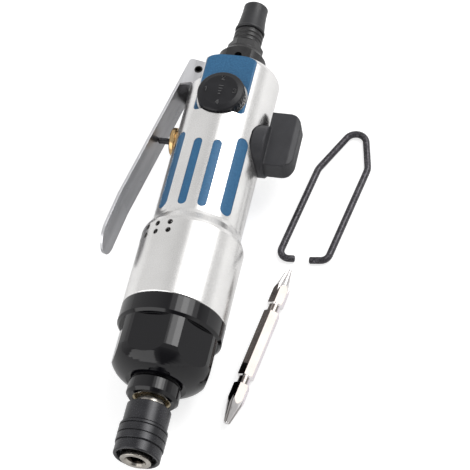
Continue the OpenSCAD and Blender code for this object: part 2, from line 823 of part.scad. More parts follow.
module inlet_bushing() {
    flare = [for (i = [0:steps]) let (t = i / steps, s = 1 - t)
        [nut_r + (flange_r - gap - nut_r) * s * s, flange_end + nut_back * t]];
    color([0.07, 0.07, 0.08]) difference() {
        turned(concat([
            [0, inlet_floor + inlet_room],
            [inlet_r - chamfer, inlet_floor + inlet_room],
            [inlet_r, inlet_floor + inlet_room + chamfer],
            [inlet_r, body_end + slip],
            [flange_r - chamfer, body_end + slip],
            [flange_r, body_end + slip + chamfer],
            [flange_r, flange_end - chamfer]], flare,
            [[nut_r, neck_end - 2 * chamfer], [nut_af / 2 - gap, neck_end], [0, neck_end]]));
        // air way, then the thread of the hose nipple
        disc(inlet_floor, neck_end + over, hanger_hole_floor - airway_wall);
        disc(thread_y, neck_end + over, hose_bore_r + gap);
        disc(inlet_floor, body_end, hose_bore_r);
        // two spanner flats with the hanger holes
        for (side = [-1, 1]) {
            translate([-far / 2, spanner_y, side * (spanner_h + far / 2) - far / 2])
                cube([far, nut_y - spanner_y - gap, far]);
            translate([0, hanger_y, side * (hanger_hole_floor + far / 2) - far / 2])
                cylinder(h = far, r = hanger_hole_r);
        }
        // nut facets
        rotate([0, nut_turn, 0]) difference() {
            disc(nut_y, neck_end + over, far);
            hex_rod(nut_y - over, neck_end + 2 * over, nut_af);
        }
    }
}

module inlet_seal() {
    color([0.05, 0.05, 0.05]) translate([0, inlet_floor + inlet_room / 2, 0]) rotate([-quarter_turn, 0, 0])
        rotate_extrude() translate([inlet_r - 2 * ring_section_r, 0]) circle(ring_section_r);
}

module inlet_strainer() {
    r = hose_bore_r - slip;
    rim = body_end - slip;
    color([0.7, 0.7, 0.68]) turned([[r, rim], [r, rim - strainer_t * 3],
        [strainer_r + strainer_t, body_end - strainer_len],
        [strainer_r, body_end - strainer_len], [r - strainer_t, rim - strainer_t * 3],
        [r - strainer_t, rim]]);
}

module hose_nipple() {
    start = thread_y + gap;
    pitch = (ribs_len - 2 * chamfer) / rib_count;
    color([0.09, 0.09, 0.1]) difference() {
        union() {
            disc(start, hose_sleeve_y + nipple_lap, hose_bore_r + gap - slip);
            for (i = [0:rib_count - 1]) {
                y = neck_end + slip + i * pitch;
                turned([[0, y], [nipple_r - chamfer, y], [nipple_r, y + chamfer],
                    [nipple_r, y + pitch - 2 * chamfer], [nipple_r - chamfer, y + pitch - chamfer],
                    [nipple_r - chamfer, y + pitch], [0, y + pitch]]);
            }
            disc(neck_end + slip, hose_sleeve_y, nipple_r - 2 * chamfer);
        }
        disc(start - over, hose_end, nipple_bore_r);
    }
}

module hose_sleeve() {
    color([0.12, 0.12, 0.13]) difference() {
        turned([[0, hose_sleeve_y], [hose_rim_r - chamfer, hose_sleeve_y],
            [hose_rim_r, hose_sleeve_y + chamfer],
            [hose_rim_r, hose_sleeve_y + hose_rim_w],
            [hose_rim_r - gap, hose_sleeve_y + hose_rim_w + chamfer],
            [hose_end_r + gap, hose_end - 2 * hose_tail_len], [hose_end_r, hose_end - hose_tail_len],
            [hose_end_r, hose_end - chamfer], [hose_end_r - chamfer, hose_end], [0, hose_end]]);
        disc(hose_sleeve_y - over, hose_end + over, hose_bore_r);
        disc(hose_sleeve_y - over, hose_sleeve_y + nipple_lap, hose_bore_r + gap);
    }
}

// side shape of the lever, in distance from the hinge pin and height over it
module lever_side() {
    r = ear_corner_r;
    polygon([[-face_h, ear_rear - r], [-face_h, -fall_t], [-tip_h, -tip_t],
        [-tip_end_h, -tip_t - lever_w / 2],
        [-tip_end_h + plate_t, -tip_t - lever_w / 2], [-tip_h + plate_t, -tip_t],
        [-face_h + plate_t, -fall_t],
        [-face_h + plate_t, -ear_front], [0, -(ear_front + ear_inner) / 2], [ear_drop, -ear_inner],
        [ear_drop, ear_rear - r], [-face_h, ear_rear - r]]);
    hull() {
        for (x = [-face_h + r, ear_drop - r]) {
            translate([x, ear_rear - r]) circle(r);
        }
    }
}

// plan of the lever seen along its face, with its round tip
module lever_plan(w, rear) {
    translate([-w / 2, -tip_t]) square([w, tip_t + rear]);
    translate([0, -tip_t]) circle(w / 2);
}

module throttle_lever() {
    color([0.35, 0.35, 0.37]) translate([-hinge_x, hinge_y, 0]) rotate([0, 0, -lever_slope]) difference() {
        intersection() {
            translate([0, 0, -lever_w / 2]) linear_extrude(lever_w) lever_side();
            rotate([0, quarter_turn, 0]) translate([0, 0, -far / 2]) linear_extrude(far)
                lever_plan(lever_w, far);
        }
        intersection() {
            translate([-face_h + plate_t, -body_far, -far / 2]) cube([far, 2 * body_far, far]);
            translate([0, 0, -far / 2]) linear_extrude(far) polygon([[-face_h + plate_t, far],
                [-face_h + plate_t, -fall_t], [-tip_h + plate_t, -tip_t],
                [-tip_end_h + plate_t, -tip_t - lever_w / 2], [far, -tip_t - lever_w / 2], [far, far]]);
            rotate([0, quarter_turn, 0]) translate([0, 0, -far / 2]) linear_extrude(far)
                lever_plan(lever_w - 2 * plate_t, far);
        }
        translate([0, 0, -far / 2]) cylinder(h = far, r = hinge_r + slip);
    }
}

module lever_pin() {
    color([0.5, 0.5, 0.52]) translate([-hinge_x, hinge_y, 0]) difference() {
        translate([0, 0, -lever_w / 2 - small_chamfer])
            cylinder(h = lever_w + 2 * small_chamfer, r = hinge_r - slip / 2);
        translate([0, 0, -far / 2]) cylinder(h = far, r = hinge_r - pin_wall);
        translate([0, -gap, -far / 2]) cube([far, 2 * gap, far]);
    }
}

module valve_bushing() {
    fit_r = throttle_bore_r - slip;
    bore = stem_r + 2 * slip;
    room_end = -outlet_x - outlet_r - 3 * slip;
    color([0.75, 0.6, 0.3]) translate([0, valve_y, 0]) difference() {
        turned_x([[bore, -gland_x], [gland_r - chamfer, -gland_x], [gland_r, -gland_x + chamfer],
            [gland_r, -gland_x + gland_t - chamfer], [gland_r - chamfer, -gland_x + gland_t],
            [throttle_bore_r, -gland_x + gland_t], [throttle_bore_r, -lever_flat_x - slip],
            [fit_r, -lever_flat_x - slip], [fit_r, -outlet_x - outlet_r],
            [fit_r - outlet_groove, -outlet_x - outlet_r],
            [fit_r - outlet_groove, -outlet_x + outlet_r - gap], [fit_r, -outlet_x + outlet_r - gap],
            [fit_r, -seat_x], [throttle_bore_r - bushing_wall, -seat_x],
            [throttle_bore_r - bushing_wall, room_end],
            [bore, room_end]]);
        // groove of the stem seal
        rod_x(-lever_flat_x, -lever_flat_x + 3 * ring_section_r, stem_r + 3 * ring_section_r);
        // cross holes to the outlet groove
        for (a = [0:3]) {
            rotate([a * quarter_turn, 0, 0]) translate([-outlet_x, 0, 0])
                cylinder(h = far, r = outlet_r - gap * 2);
        }
    }
}

module valve_stem() {
    r = throttle_bore_r - poppet_step;
    x = -seat_x + 2 * gap;
    color([0.12, 0.12, 0.13]) translate([0, valve_y, 0]) turned_x([[0, -stem_x], [stem_r - chamfer, -stem_x],
        [stem_r, -stem_x + chamfer], [stem_r, x], [r, x], [r, x + poppet_t], [0, x + poppet_t]]);
}

module poppet_seal() {
    color([0.05, 0.05, 0.05]) translate([0, valve_y, 0]) difference() {
        rod_x(-seat_x + slip, -seat_x + 2 * gap, throttle_bore_r - poppet_step);
        rod_x(-seat_x - over, -seat_x + over, stem_r);
    }
}

module valve_spring() {
    r = throttle_bore_r - poppet_step - gap;
    color([0.6, 0.6, 0.62]) translate([0, valve_y, 0]) difference() {
        rod_x(-seat_x + 2 * gap + poppet_t + slip, -throttle_floor - slip, r);
        rod_x(-far, far, r - spring_t);
    }
}

module stem_seal() {
    color([0.05, 0.05, 0.05]) translate([-lever_flat_x + 1.5 * ring_section_r, valve_y, 0])
        rotate([0, quarter_turn, 0]) rotate_extrude() translate([stem_r + 2 * slip + ring_section_r, 0])
        circle(ring_section_r);
}

// plan of the reverse wing, in distance along Y and X
module wing_plan(y0, y1, x0, x1, r) {
    translate([x0, y0]) square([x1 - r - x0, y1 - y0]);
    translate([x0, y0 + r]) square([x1 - x0, y1 - y0 - 2 * r]);
    translate([x1 - r, y0 + r]) circle(r);
    translate([x1 - r, y1 - r]) circle(r);
}

module reverse_lever() {
    b = wing_bevel;
    hz = wing_t / 2;
    q = spool_square / 2 + slip;
    color([0.08, 0.08, 0.09]) translate([0, valve_y, 0]) difference() {
        union() {
            turned_x([[0, boss_floor + gap], [boss_r - small_chamfer, boss_floor + gap],
                [boss_r, boss_floor + gap + small_chamfer], [boss_r, boss_end - chamfer],
                [boss_r - chamfer, boss_end], [0, boss_end]]);
            intersection() {
                translate([0, 0, -hz]) linear_extrude(wing_t)
                    wing_plan(-wing_front, wing_rear, boss_end - over, wing_end, wing_corner_r);
                // bevelled outer edge
                rotate([quarter_turn, 0, 0]) translate([0, 0, -far]) linear_extrude(2 * far)
                    polygon([[0, -hz], [wing_end - b, -hz], [wing_end, -hz + b / 2], [wing_end, hz - b / 2],
                        [wing_end - b, hz], [0, hz]]);
            }
        }
        // square socket on the spool
        box([boss_floor, -q, -q], [boss_end - cap_t, q, q]);
        // track of the detent ball
        translate([boss_floor - gap, 0, 0]) rotate([0, quarter_turn, 0]) rotate_extrude()
            translate([detent_r, 0]) circle(detent_track_r);
    }
}

module reverse_spool() {
    q = spool_square / 2;
    neck_x = boss_floor - spool_neck_len;
    groove_x = spool_seal_x - seal_groove_w / 2;
    groove_r = spool_r - 2 * ring_section_r;
    color([0.62, 0.62, 0.64]) translate([0, valve_y, 0]) difference() {
        union() {
            turned_x([[0, spool_floor + gap], [spool_r - small_chamfer, spool_floor + gap],
                [spool_r, spool_floor + gap + small_chamfer], [spool_r, groove_x], [groove_r, groove_x],
                [groove_r, groove_x + seal_groove_w], [spool_r, groove_x + seal_groove_w], [spool_r, neck_x],
                [spool_neck_r, neck_x], [spool_neck_r, boss_floor + slip], [0, boss_floor + slip]]);
            box([neck_x, -q, -q], [boss_end - cap_t - gap, q, q]);
        }
        // flow pockets on both sides of the web
        for (side = [-1, 1]) {
            translate([spool_floor + spool_neck_len, -far / 2, side * (spool_web_t / 2 + far / 2) - far / 2])
                cube([spool_pocket_len, far, far]);
        }
    }
}

module spool_seal() {
    color([0.05, 0.05, 0.05]) translate([spool_seal_x, valve_y, 0]) rotate([0, quarter_turn, 0])
        rotate_extrude()
        translate([spool_r - ring_section_r, 0]) circle(ring_section_r);
}

module spool_clip() {
    color([0.4, 0.4, 0.42]) translate([0, valve_y, 0]) difference() {
        rod_x(boss_floor - clip_back - clip_t, boss_floor - clip_back, spool_bore_r + gap - slip);
        rod_x(0, far, clip_in_r);
        box([0, -clip_gap / 2, 0], [far, clip_gap / 2, far]);
    }
}

module reverse_detent_ball() {
    color([0.7, 0.7, 0.72]) translate([boss_floor - 2 * gap, valve_y - detent_r, 0]) sphere(ball_small_r);
}

module reverse_detent_spring() {
    color([0.6, 0.6, 0.62]) translate([0, valve_y - detent_r, 0]) difference() {
        rod_x(boss_floor - detent_depth, boss_floor - 2 * gap - ball_small_r, ball_small_r - slip);
        rod_x(0, far, ball_small_r - detent_spring_t);
    }
}

module regulator_dial() {
    q = dial_square / 2 + slip;
    color([0.06, 0.06, 0.07]) translate([0, dial_y, 0]) difference() {
        rotate_extrude() polygon([[0, flat_z + gap], [dial_r - small_chamfer, flat_z + gap],
            [dial_r, flat_z + gap + small_chamfer], [dial_r, dial_rim_z - chamfer],
            [dial_r - chamfer, dial_rim_z], [dial_top_r, dial_top_z], [0, dial_top_z]]);
        box([-q, -q, 0], [q, q, dial_rim_z - cap_t]);
        translate([0, 0, flat_z - gap]) rotate_extrude() translate([dial_detent_r, 0]) circle(detent_track_r);
    }
}

module regulator_spool() {
    r = regulator_r - slip;
    q = dial_square / 2;
    groove_z = dial_seal_z - seal_groove_w / 2;
    color([0.62, 0.62, 0.64]) translate([0, dial_y, 0]) difference() {
        union() {
            rotate_extrude() polygon([[0, regulator_floor + gap], [r, regulator_floor + gap], [r, groove_z],
                [r - 2 * ring_section_r, groove_z], [r - 2 * ring_section_r, groove_z + seal_groove_w],
                [r, groove_z + seal_groove_w], [r, regulator_top], [regulator_neck_r, regulator_top],
                [regulator_neck_r, flat_z], [0, flat_z]]);
            box([-q, -q, regulator_top - over], [q, q, dial_rim_z - cap_t - gap]);
        }
        // flow notch that meets the supply passage
        translate([-far, -supply_r, -supply_r]) cube([far - notch_web, 2 * supply_r, 2 * supply_r]);
    }
}

module dial_seal() {
    color([0.05, 0.05, 0.05]) translate([0, dial_y, dial_seal_z]) rotate_extrude()
        translate([regulator_r - slip - ring_section_r, 0]) circle(ring_section_r);
}

module dial_detent_ball() {
    color([0.7, 0.7, 0.72]) translate([0, dial_y - dial_detent_r, flat_z - 2 * gap]) sphere(ball_small_r);
}

module dial_detent_spring() {
    color([0.6, 0.6, 0.62]) translate([0, dial_y - dial_detent_r, flat_z - dial_detent_depth]) difference() {
        cylinder(h = dial_detent_depth - 2 * gap - ball_small_r, r = ball_small_r - slip);
        cylinder(h = far, r = ball_small_r - detent_spring_t);
    }
}

// dowel hole through the stack of the motor
module dowel_hole(play) {
    translate([0, 0, dowel_z]) disc(0, body_far, dowel_r + play);
}

module rear_end_plate() {
    y = motor_bore_end - gasket_t;
    color([0.55, 0.55, 0.57]) difference() {
        union() {
            disc(cylinder_end, y, cylinder_r - chamfer);
            disc(y - plate_rim_t, y, motor_bore_r - slip);
        }
        disc(rear_bearing_y, body_far, rear_bearing_r + slip / 2);
        disc(0, body_far, rear_shaft_r + gap);
        intersection() {
            dowel_hole(0);
            disc(0, motor_bore_end - dowel_cover, far);
        }
        for (side = [-1, 1]) {
            translate([feed_x, 0, side * feed_z]) disc(0, body_far, feed_r);
            // groove from the feed hole to the chamber beside the rotor
            rotate([0, quarter_turn - side * feed_turn, 0])
                box([-feed_r, cylinder_end - over, feed_groove_in],
                    [feed_r, cylinder_end + feed_groove, feed_groove_out]);
        }
    }
}

// ball bearing with its two races and a sunk cage between them
module bearing(y, shaft, r) {
    middle = (shaft + r) / 2;
    half = (r - shaft - 2 * race_t) / 2;
    ends = [y + gap, y + bearing_w - gap];
    color([0.7, 0.7, 0.72]) turned([[shaft + slip / 2, y], [middle - half, y], [middle - half, ends[0]],
        [middle + half, ends[0]], [middle + half, y], [r, y], [r, y + bearing_w],
        [middle + half, y + bearing_w],
        [middle + half, ends[1]], [middle - half, ends[1]], [middle - half, y + bearing_w],
        [shaft + slip / 2, y + bearing_w]]);
}

module rear_bearing() {
    bearing(rear_bearing_y, rear_shaft_r, rear_bearing_r);
}

module cylinder_liner() {
    color([0.6, 0.6, 0.62]) difference() {
        disc(cylinder_y, cylinder_end, cylinder_r);
        translate([0, 0, bore_offset]) disc(0, body_far, cylinder_bore_r);
        dowel_hole(0);
        // row of exhaust ports on the side of the barrel holes
        pitch = (cylinder_end - cylinder_y) / (port_count + 1);
        for (i = [1:port_count]) {
            translate([0, cylinder_y + i * pitch, -bore_offset]) rod_x(-far, -cylinder_bore_r / 2, port_r);
        }
    }
}

module rotor() {
    color([0.5, 0.5, 0.53]) difference() {
        turned([[0, cage_rear_y + gap], [front_shaft_r - small_chamfer, cage_rear_y + gap],
            [front_shaft_r, cage_rear_y + gap + small_chamfer], [front_shaft_r, cylinder_y + gap],
            [rotor_r, cylinder_y + gap], [rotor_r, cylinder_end - gap],
            [rear_shaft_r, cylinder_end - gap], [rear_shaft_r, cylinder_end + rear_shaft_len],
            [0, cylinder_end + rear_shaft_len]]);
        for (i = [0:vane_count - 1]) {
            rotate([0, i * full_turn / vane_count, 0]) translate([-vane_slot_t / 2, 0, vane_in - 3 * slip])
                cube([vane_slot_t, body_far, far]);
        }
    }
}

module vanes() {
    color([0.35, 0.22, 0.12]) for (i = [0:vane_count - 1]) {
        rotate([0, i * full_turn / vane_count, 0]) translate([-vane_t / 2, cylinder_y + gap + slip, vane_in])
            cube([vane_t, cylinder_end - cylinder_y - 2 * gap - 2 * slip, rotor_r - 2 * slip - vane_in]);
    }
}

module front_end_plate() {
    color([0.55, 0.55, 0.57]) difference() {
        disc(front_plate_y, cylinder_y, cylinder_r);
        disc(0, front_plate_y + bearing_w + small_chamfer, front_bearing_r);
        disc(0, body_far, front_shaft_r + gap);
        intersection() {
            dowel_hole(0);
            disc(front_plate_y + dowel_cover, body_far, far);
        }
    }
}

module front_bearing() {
    bearing(front_plate_y, front_shaft_r, front_bearing_r);
}

module dowel_pin() {
    color([0.7, 0.7, 0.72]) translate([0, 0, dowel_z])
        disc(front_plate_y + dowel_cover + gap, motor_bore_end - dowel_cover - gap, dowel_r);
}

module hammer_cage() {
    color([0.45, 0.45, 0.47]) difference() {
        union() {
            disc(cage_y, cage_y + cage_front_t, cage_r);
            disc(cage_rear_y, cage_end, cage_r);
            // two webs that join the discs
            intersection() {
                ring(cage_y, cage_end, cage_r, cage_r - cage_web_t);
                box([-far, 0, -cage_web_w / 2], [far, body_far, cage_web_w / 2]);
            }
        }
        disc(0, cage_rear_y - over, hammer_open_r);
        disc(0, body_far, front_shaft_r + slip / 2);
        for (side = [-1, 1]) {
            translate([0, 0, side * hammer_pin_at]) disc(0, body_far, hammer_pin_r);
        }
    }
}

module hammer_pins() {
    color([0.7, 0.7, 0.72]) for (side = [-1, 1]) {
        translate([0, 0, side * hammer_pin_at]) disc(cage_y, cage_end, hammer_pin_r);
    }
}

// ring hammer that swings on the pin on the dial side
module hammer(y) {
    slot = hammer_pin_r + slip + swing_room;
    difference() {
        disc(y, y + hammer_len, hammer_r);
        intersection() {
            disc(y - over, y + hammer_len + over, hammer_open_r);
            union() {
                disc(y - over, y + hammer_len + over, dog_r);
                box([-far, 0, -far], [far, body_far, dog_low]);
            }
        }
        translate([0, 0, hammer_pin_at]) disc(0, body_far, hammer_pin_r + slip);
        box([-slot, 0, -far], [slot, body_far, -hammer_pin_at + hammer_pin_r + gap]);
    }
}

module hammer_front() {
    color([0.4, 0.4, 0.43]) hammer(hammer_y);
}

module hammer_rear() {
    color([0.4, 0.4, 0.43]) rotate([0, half_turn, 0]) hammer(hammer_y + hammer_len + gap);
}

module anvil() {
    c = chamfer * 2;
    thrust_y = nose_bore_end + gap;
    color([0.66, 0.64, 0.6]) difference() {
        union() {
            turned([[0, anvil_y], [anvil_nose_r - small_chamfer, anvil_y],
                [anvil_nose_r, anvil_y + small_chamfer],
                [anvil_nose_r, chuck_ring_y], [anvil_nose_r - clip_groove, chuck_ring_y],
                [anvil_nose_r - clip_groove, washer_y], [anvil_nose_r, washer_y],
                [anvil_nose_r, anvil_step_y], [anvil_r, anvil_step_y], [anvil_r, neck_y - c],
                [neck_r, neck_y],
                [neck_r, neck_end_y], [anvil_r, neck_end_y + c], [anvil_r, thrust_y], [thrust_r, thrust_y],
                [thrust_r, thrust_y + thrust_t], [tail_r, thrust_y + thrust_t], [tail_r, cage_rear_y],
                [0, cage_rear_y]]);
            // two lobes that the hammers strike
            intersection() {
                disc(hammer_y, cage_rear_y - gap, lobe_r);
                box([-lobe_r, 0, -lobe_w / 2], [lobe_r, body_far, lobe_w / 2]);
            }
        }
        hex_rod(anvil_y - over, socket_end, socket_af);
        turned([[0, anvil_y - over], [mouth_r + over, anvil_y - over],
            [socket_af / 2, anvil_y + mouth_r + over - socket_af / 2],
            [0, anvil_y + mouth_r + over - socket_af / 2]]);
        // holes of the two balls
        translate([0, ball_y, -far / 2]) cylinder(h = far, r = ball_r + slip);
    }
}

module anvil_bushing() {
    color([0.62, 0.5, 0.3]) difference() {
        ring(bushing_y, nose_bore_end - small_chamfer, nose_bore_r, bushing_r);
        turned([[0, bushing_y - over], [bushing_r + over + chamfer, bushing_y - over],
            [bushing_r, bushing_y + chamfer], [0, bushing_y + chamfer]]);
    }
}

module chuck_sleeve() {
    color([0.09, 0.09, 0.1]) difference() {
        turned([[0, 0], [sleeve_r - chamfer, 0], [sleeve_r, chamfer], [sleeve_r, rib_start - rib_line_w],
            [sleeve_r - rib_line_depth, rib_start - rib_line_w], [sleeve_r - rib_line_depth, rib_start],
            [sleeve_rib_r - small_chamfer, rib_start], [sleeve_rib_r, rib_start + small_chamfer],
            [sleeve_rib_r, rib_end - small_chamfer], [sleeve_rib_r - small_chamfer, rib_end],
            [sleeve_rear_r - small_chamfer, rib_end], [sleeve_rear_r - small_chamfer, rib_end + rib_line_w],
            [sleeve_rear_r, rib_end + rib_line_w], [sleeve_rear_r, sleeve_len - chamfer],
            [sleeve_rear_r - chamfer, sleeve_len], [0, sleeve_len]]);
        for (y = rib_lines) {
            difference() {
                disc(y - rib_line_w / 2, y + rib_line_w / 2, sleeve_rib_r + over);
                disc(y - rib_line_w, y + rib_line_w, sleeve_rib_r - rib_line_depth);
            }
        }
        disc(-over, land_start, sleeve_cavity_r);
        disc(0, sleeve_len, sleeve_bore_r);
        disc(land_end, sleeve_len + over, sleeve_cavity_r);
        turned([[0, -over], [sleeve_cavity_r + over + chamfer, -over], [sleeve_cavity_r, chamfer],
            [0, chamfer]]);
    }
}

module chuck_spring() {
    color([0.6, 0.6, 0.62])
        ring(spring_y + slip, land_start - slip, sleeve_cavity_r - gap, anvil_nose_r + slip * 4);
}

module chuck_balls() {
    color([0.75, 0.75, 0.77]) for (side = [-1, 1]) {
        translate([0, ball_y, side * ball_at]) sphere(ball_r);
    }
}

module chuck_washer() {
    color([0.5, 0.5, 0.52]) ring(washer_y + slip, spring_y, sleeve_cavity_r - 3 * slip, anvil_nose_r + slip);
}

module chuck_clip() {
    color([0.12, 0.12, 0.13]) difference() {
        ring(chuck_ring_y + slip, washer_y, sleeve_cavity_r - 2 * gap, anvil_nose_r - clip_groove + slip);
        box([-clip_gap / 2, 0, 0], [clip_gap / 2, far, far]);
    }
}

// the four flutes of one cross tip, with the point at zero
module cross_flutes() {
    for (a = [0:3]) {
        rotate([0, a * quarter_turn + quarter_turn / 2, 0]) translate([0, 0, flute_core])
            rotate([flute_slope, 0, 0])
            rotate([0, -quarter_turn / 2, 0]) translate([0, -over, 0]) cube([far, far, far]);
    }
}

module screwdriver_bit() {
    n = bit_neck_r;
    b = bit_r;
    half = [[tip_r, 0], [tip_r + gap, gap], [b, tip_len], [b, groove_y - gap], [b - 2 * gap, groove_y],
        [n, groove_y + gap],
        [n, groove_y + groove_len - 2 * gap], [b - 2 * gap, groove_y + groove_len - gap],
        [b, groove_y + groove_len]];
    back = [for (i = [1:len(half)]) let (p = half[len(half) - i]) [p[0], bit_len - p[1]]];
    color([0.75, 0.75, 0.77]) translate([bit_at[0], bit_at[1], bit_z]) rotate([0, bit_roll, bit_turn])
        translate([0, -bit_len / 2, 0]) difference() {
        intersection() {
            turned(concat([[0, 0]], half, back, [[0, bit_len]]));
            hex_rod(-over, bit_len + over, hex_af);
        }
        cross_flutes();
        translate([0, bit_len, 0]) rotate([0, 0, half_turn]) cross_flutes();
    }
}

// stations of the wire round a bend: two places and the turn of the outer side
function bend(c, r, a0, a1) = [for (i = [0:ceil(abs(a1 - a0) / bend_turn)])
    let (a = a0 + (a1 - a0) * i / ceil(abs(a1 - a0) / bend_turn)) [c[0] + r * cos(a), c[1] + r * sin(a), a]];

// stations of one half of the hanger from its hook to its elbow, seen from the middle
function hanger_half(i) =
    let (h = hook_slopes[i], s = roof_slopes[i], foot = [leg_u, foot_vs[i]], roof_r = 2 * bend_r)
    let (end = foot - (leg_u - hook_u) / cos(h) * [cos(h), sin(h)])
    concat([[end[0], end[1], h - quarter_turn]],
        bend(foot + bend_r * [-1, tan((quarter_turn - h) / 2)], bend_r, h - quarter_turn, 0),
        bend([leg_u, elbow_vs[i]] - roof_r * [1, tan(s / 2)], roof_r, 0, s));

// wire of even thickness through a row of stations
module wire(path) {
    last = len(path) - 1;
    m = wire_sides;
    points = [for (p = path) for (j = [0:m - 1]) let (out = wire_r * cos(full_turn * j / m))
        [p[0] + out * cos(p[2]), p[1] + out * sin(p[2]), wire_r * sin(full_turn * j / m)]];
    skin = [for (i = [0:last - 1]) for (j = [0:m - 1]) let (k = (j + 1) % m)
        [i * m + j, i * m + k, (i + 1) * m + k, (i + 1) * m + j]];
    polyhedron(points, concat([[for (j = [1:m]) m - j]], skin, [[for (j = [0:m - 1]) last * m + j]]));
}

module hanger_wire() {
    s = roof_slopes;
    // distance of the apex centre along the outward normal of each roof side
    d = [for (i = [0:1]) leg_u * cos(s[i]) + elbow_vs[i] * sin(s[i]) - apex_r];
    u = (d[1] * sin(s[0]) - d[0] * sin(s[1])) / sin(s[0] + s[1]);
    v = (d[1] * cos(s[0]) + d[0] * cos(s[1])) / sin(s[0] + s[1]);
    left = hanger_half(0);
    back = [for (i = [1:len(left)]) let (p = left[len(left) - i]) [-p[0], p[1], half_turn - p[2]]];
    color([0.1, 0.1, 0.11]) translate([hanger_at[0], hanger_at[1], ground_z + wire_r])
        rotate([0, 0, hanger_turn])
        wire(concat(hanger_half(1), bend([u, v], apex_r, s[1], half_turn - s[0]), back));
}

body_housing();
regulator_panel();
grip_inlays();
front_housing();
housing_gasket();
inlet_bushing();
inlet_seal();
inlet_strainer();
hose_nipple();
hose_sleeve();
throttle_lever();
lever_pin();
valve_bushing();
valve_stem();
poppet_seal();
valve_spring();
stem_seal();
reverse_lever();
reverse_spool();
spool_seal();
spool_clip();
reverse_detent_ball();
reverse_detent_spring();
regulator_dial();
regulator_spool();
dial_seal();
dial_detent_ball();
dial_detent_spring();
rear_end_plate();
rear_bearing();
cylinder_liner();
rotor();
vanes();
front_end_plate();
front_bearing();
dowel_pin();
hammer_cage();
hammer_pins();
hammer_front();
hammer_rear();
anvil();
anvil_bushing();
chuck_sleeve();
chuck_spring();
chuck_balls();
chuck_washer();
chuck_clip();
screwdriver_bit();
hanger_wire();
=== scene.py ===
"""Looks of a pneumatic impact screwdriver that lies on a white table with a bit and a wire hanger.

Lengths are in millimetres, in the frame of the CAD model: Y runs along the tool from the chuck to the
hose end, Z points up to the dial and X to the reverse lever. MM turns them into Blender's metres.
"""

import math

import bmesh
import bpy
from mathutils import Matrix, Vector


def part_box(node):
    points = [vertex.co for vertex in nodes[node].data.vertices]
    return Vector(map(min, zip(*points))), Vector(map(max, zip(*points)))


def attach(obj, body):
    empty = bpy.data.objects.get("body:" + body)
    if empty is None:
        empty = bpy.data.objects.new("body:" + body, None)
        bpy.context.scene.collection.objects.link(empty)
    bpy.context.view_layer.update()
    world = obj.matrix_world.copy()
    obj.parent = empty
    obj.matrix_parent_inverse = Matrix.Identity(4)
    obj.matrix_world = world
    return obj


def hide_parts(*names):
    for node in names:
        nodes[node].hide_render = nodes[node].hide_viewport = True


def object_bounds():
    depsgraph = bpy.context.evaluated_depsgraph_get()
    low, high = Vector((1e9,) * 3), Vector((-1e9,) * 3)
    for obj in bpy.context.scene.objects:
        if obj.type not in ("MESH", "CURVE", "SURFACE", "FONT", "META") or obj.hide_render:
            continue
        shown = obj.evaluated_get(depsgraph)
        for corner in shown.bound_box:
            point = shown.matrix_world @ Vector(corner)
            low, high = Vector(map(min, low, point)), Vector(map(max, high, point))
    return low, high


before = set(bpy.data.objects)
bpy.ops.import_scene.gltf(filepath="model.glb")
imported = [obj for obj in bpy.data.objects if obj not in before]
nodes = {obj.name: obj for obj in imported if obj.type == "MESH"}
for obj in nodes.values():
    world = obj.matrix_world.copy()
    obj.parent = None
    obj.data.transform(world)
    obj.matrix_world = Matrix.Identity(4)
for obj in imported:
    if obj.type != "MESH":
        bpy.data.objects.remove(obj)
cad_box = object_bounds()

MM = 0.001
FLOOR_Z = cad_box[0][2] / MM

# Camera, fitted to the rings of the tool in the photograph
PHOTO_PX = 470
FOCAL_PX = 1912.678
SENSOR_W = 36
CAMERA_TURN = math.radians(24.3)
CAMERA_RISE = math.radians(57.081)
CAMERA_ROLL = math.radians(13.954)
CAMERA_AIM = Vector((16.495, 106.525, 0))
CAMERA_DISTANCE = 800
CLIP_START = 50
CLIP_END = 50000

# Finishes: detail of the two noises, and the spans of their values that are used
FINE_DETAIL = 3
WIDE_DETAIL = 4
FINE_SPAN = (0.3, 0.7)
WIDE_SPAN = (0.35, 0.65)
# How far a face looks along the spared direction where its painted light and shade by side begins to fade,
# and is gone
SPARED_SPAN = (0.1, 0.25)
# Radii about the tool's axis where the painted shade in the anvil's socket begins to fade, and is gone
SHADE_R = 3.72
UNSHADED_R = 3.9
# New pieces: an edge where the surface turns by more than this stays sharp
SHARP_ANGLE = math.radians(35)

# Bit: turn of its axis from the tool's axis
BIT_TURN = math.radians(-8.5)
BIT_AXIS = Vector((-math.sin(BIT_TURN), math.cos(BIT_TURN), 0))
BIT_SIDE = Vector((math.cos(BIT_TURN), math.sin(BIT_TURN), 0))

# Hanger: u runs across it from its middle, and v along it toward its top
WIRE_R = 1.5
WIRE_SIDES = 24
LEG_U = 10.35
HOOK_END_U = 3
BEND_R = 3.8
ELBOW_R = 2 * BEND_R
TOP_R = 4.8
# About this much turn lies between two stations of a bend
BEND_STEP = 0.08
HANGER_X = 42.6
HANGER_Y = 112.15
HANGER_TURN = math.radians(-10.3)
# Left and right half: slope of the hook, v of the corners at foot and elbow, lean of the roof from the leg
HANGER_HALVES = (
    {"hook": math.radians(-14), "foot": -4.2, "elbow": 43.6, "roof": math.radians(17.6)},
    {"hook": math.radians(18), "foot": 1.2, "elbow": 50.1, "roof": math.radians(23.5)},
)
# Rounding of the wire's ends: share of the wire's radius, and distance from the end in wire radii
WIRE_END = ((0.5, 0.0), (0.85, 0.12), (1.0, 0.4))

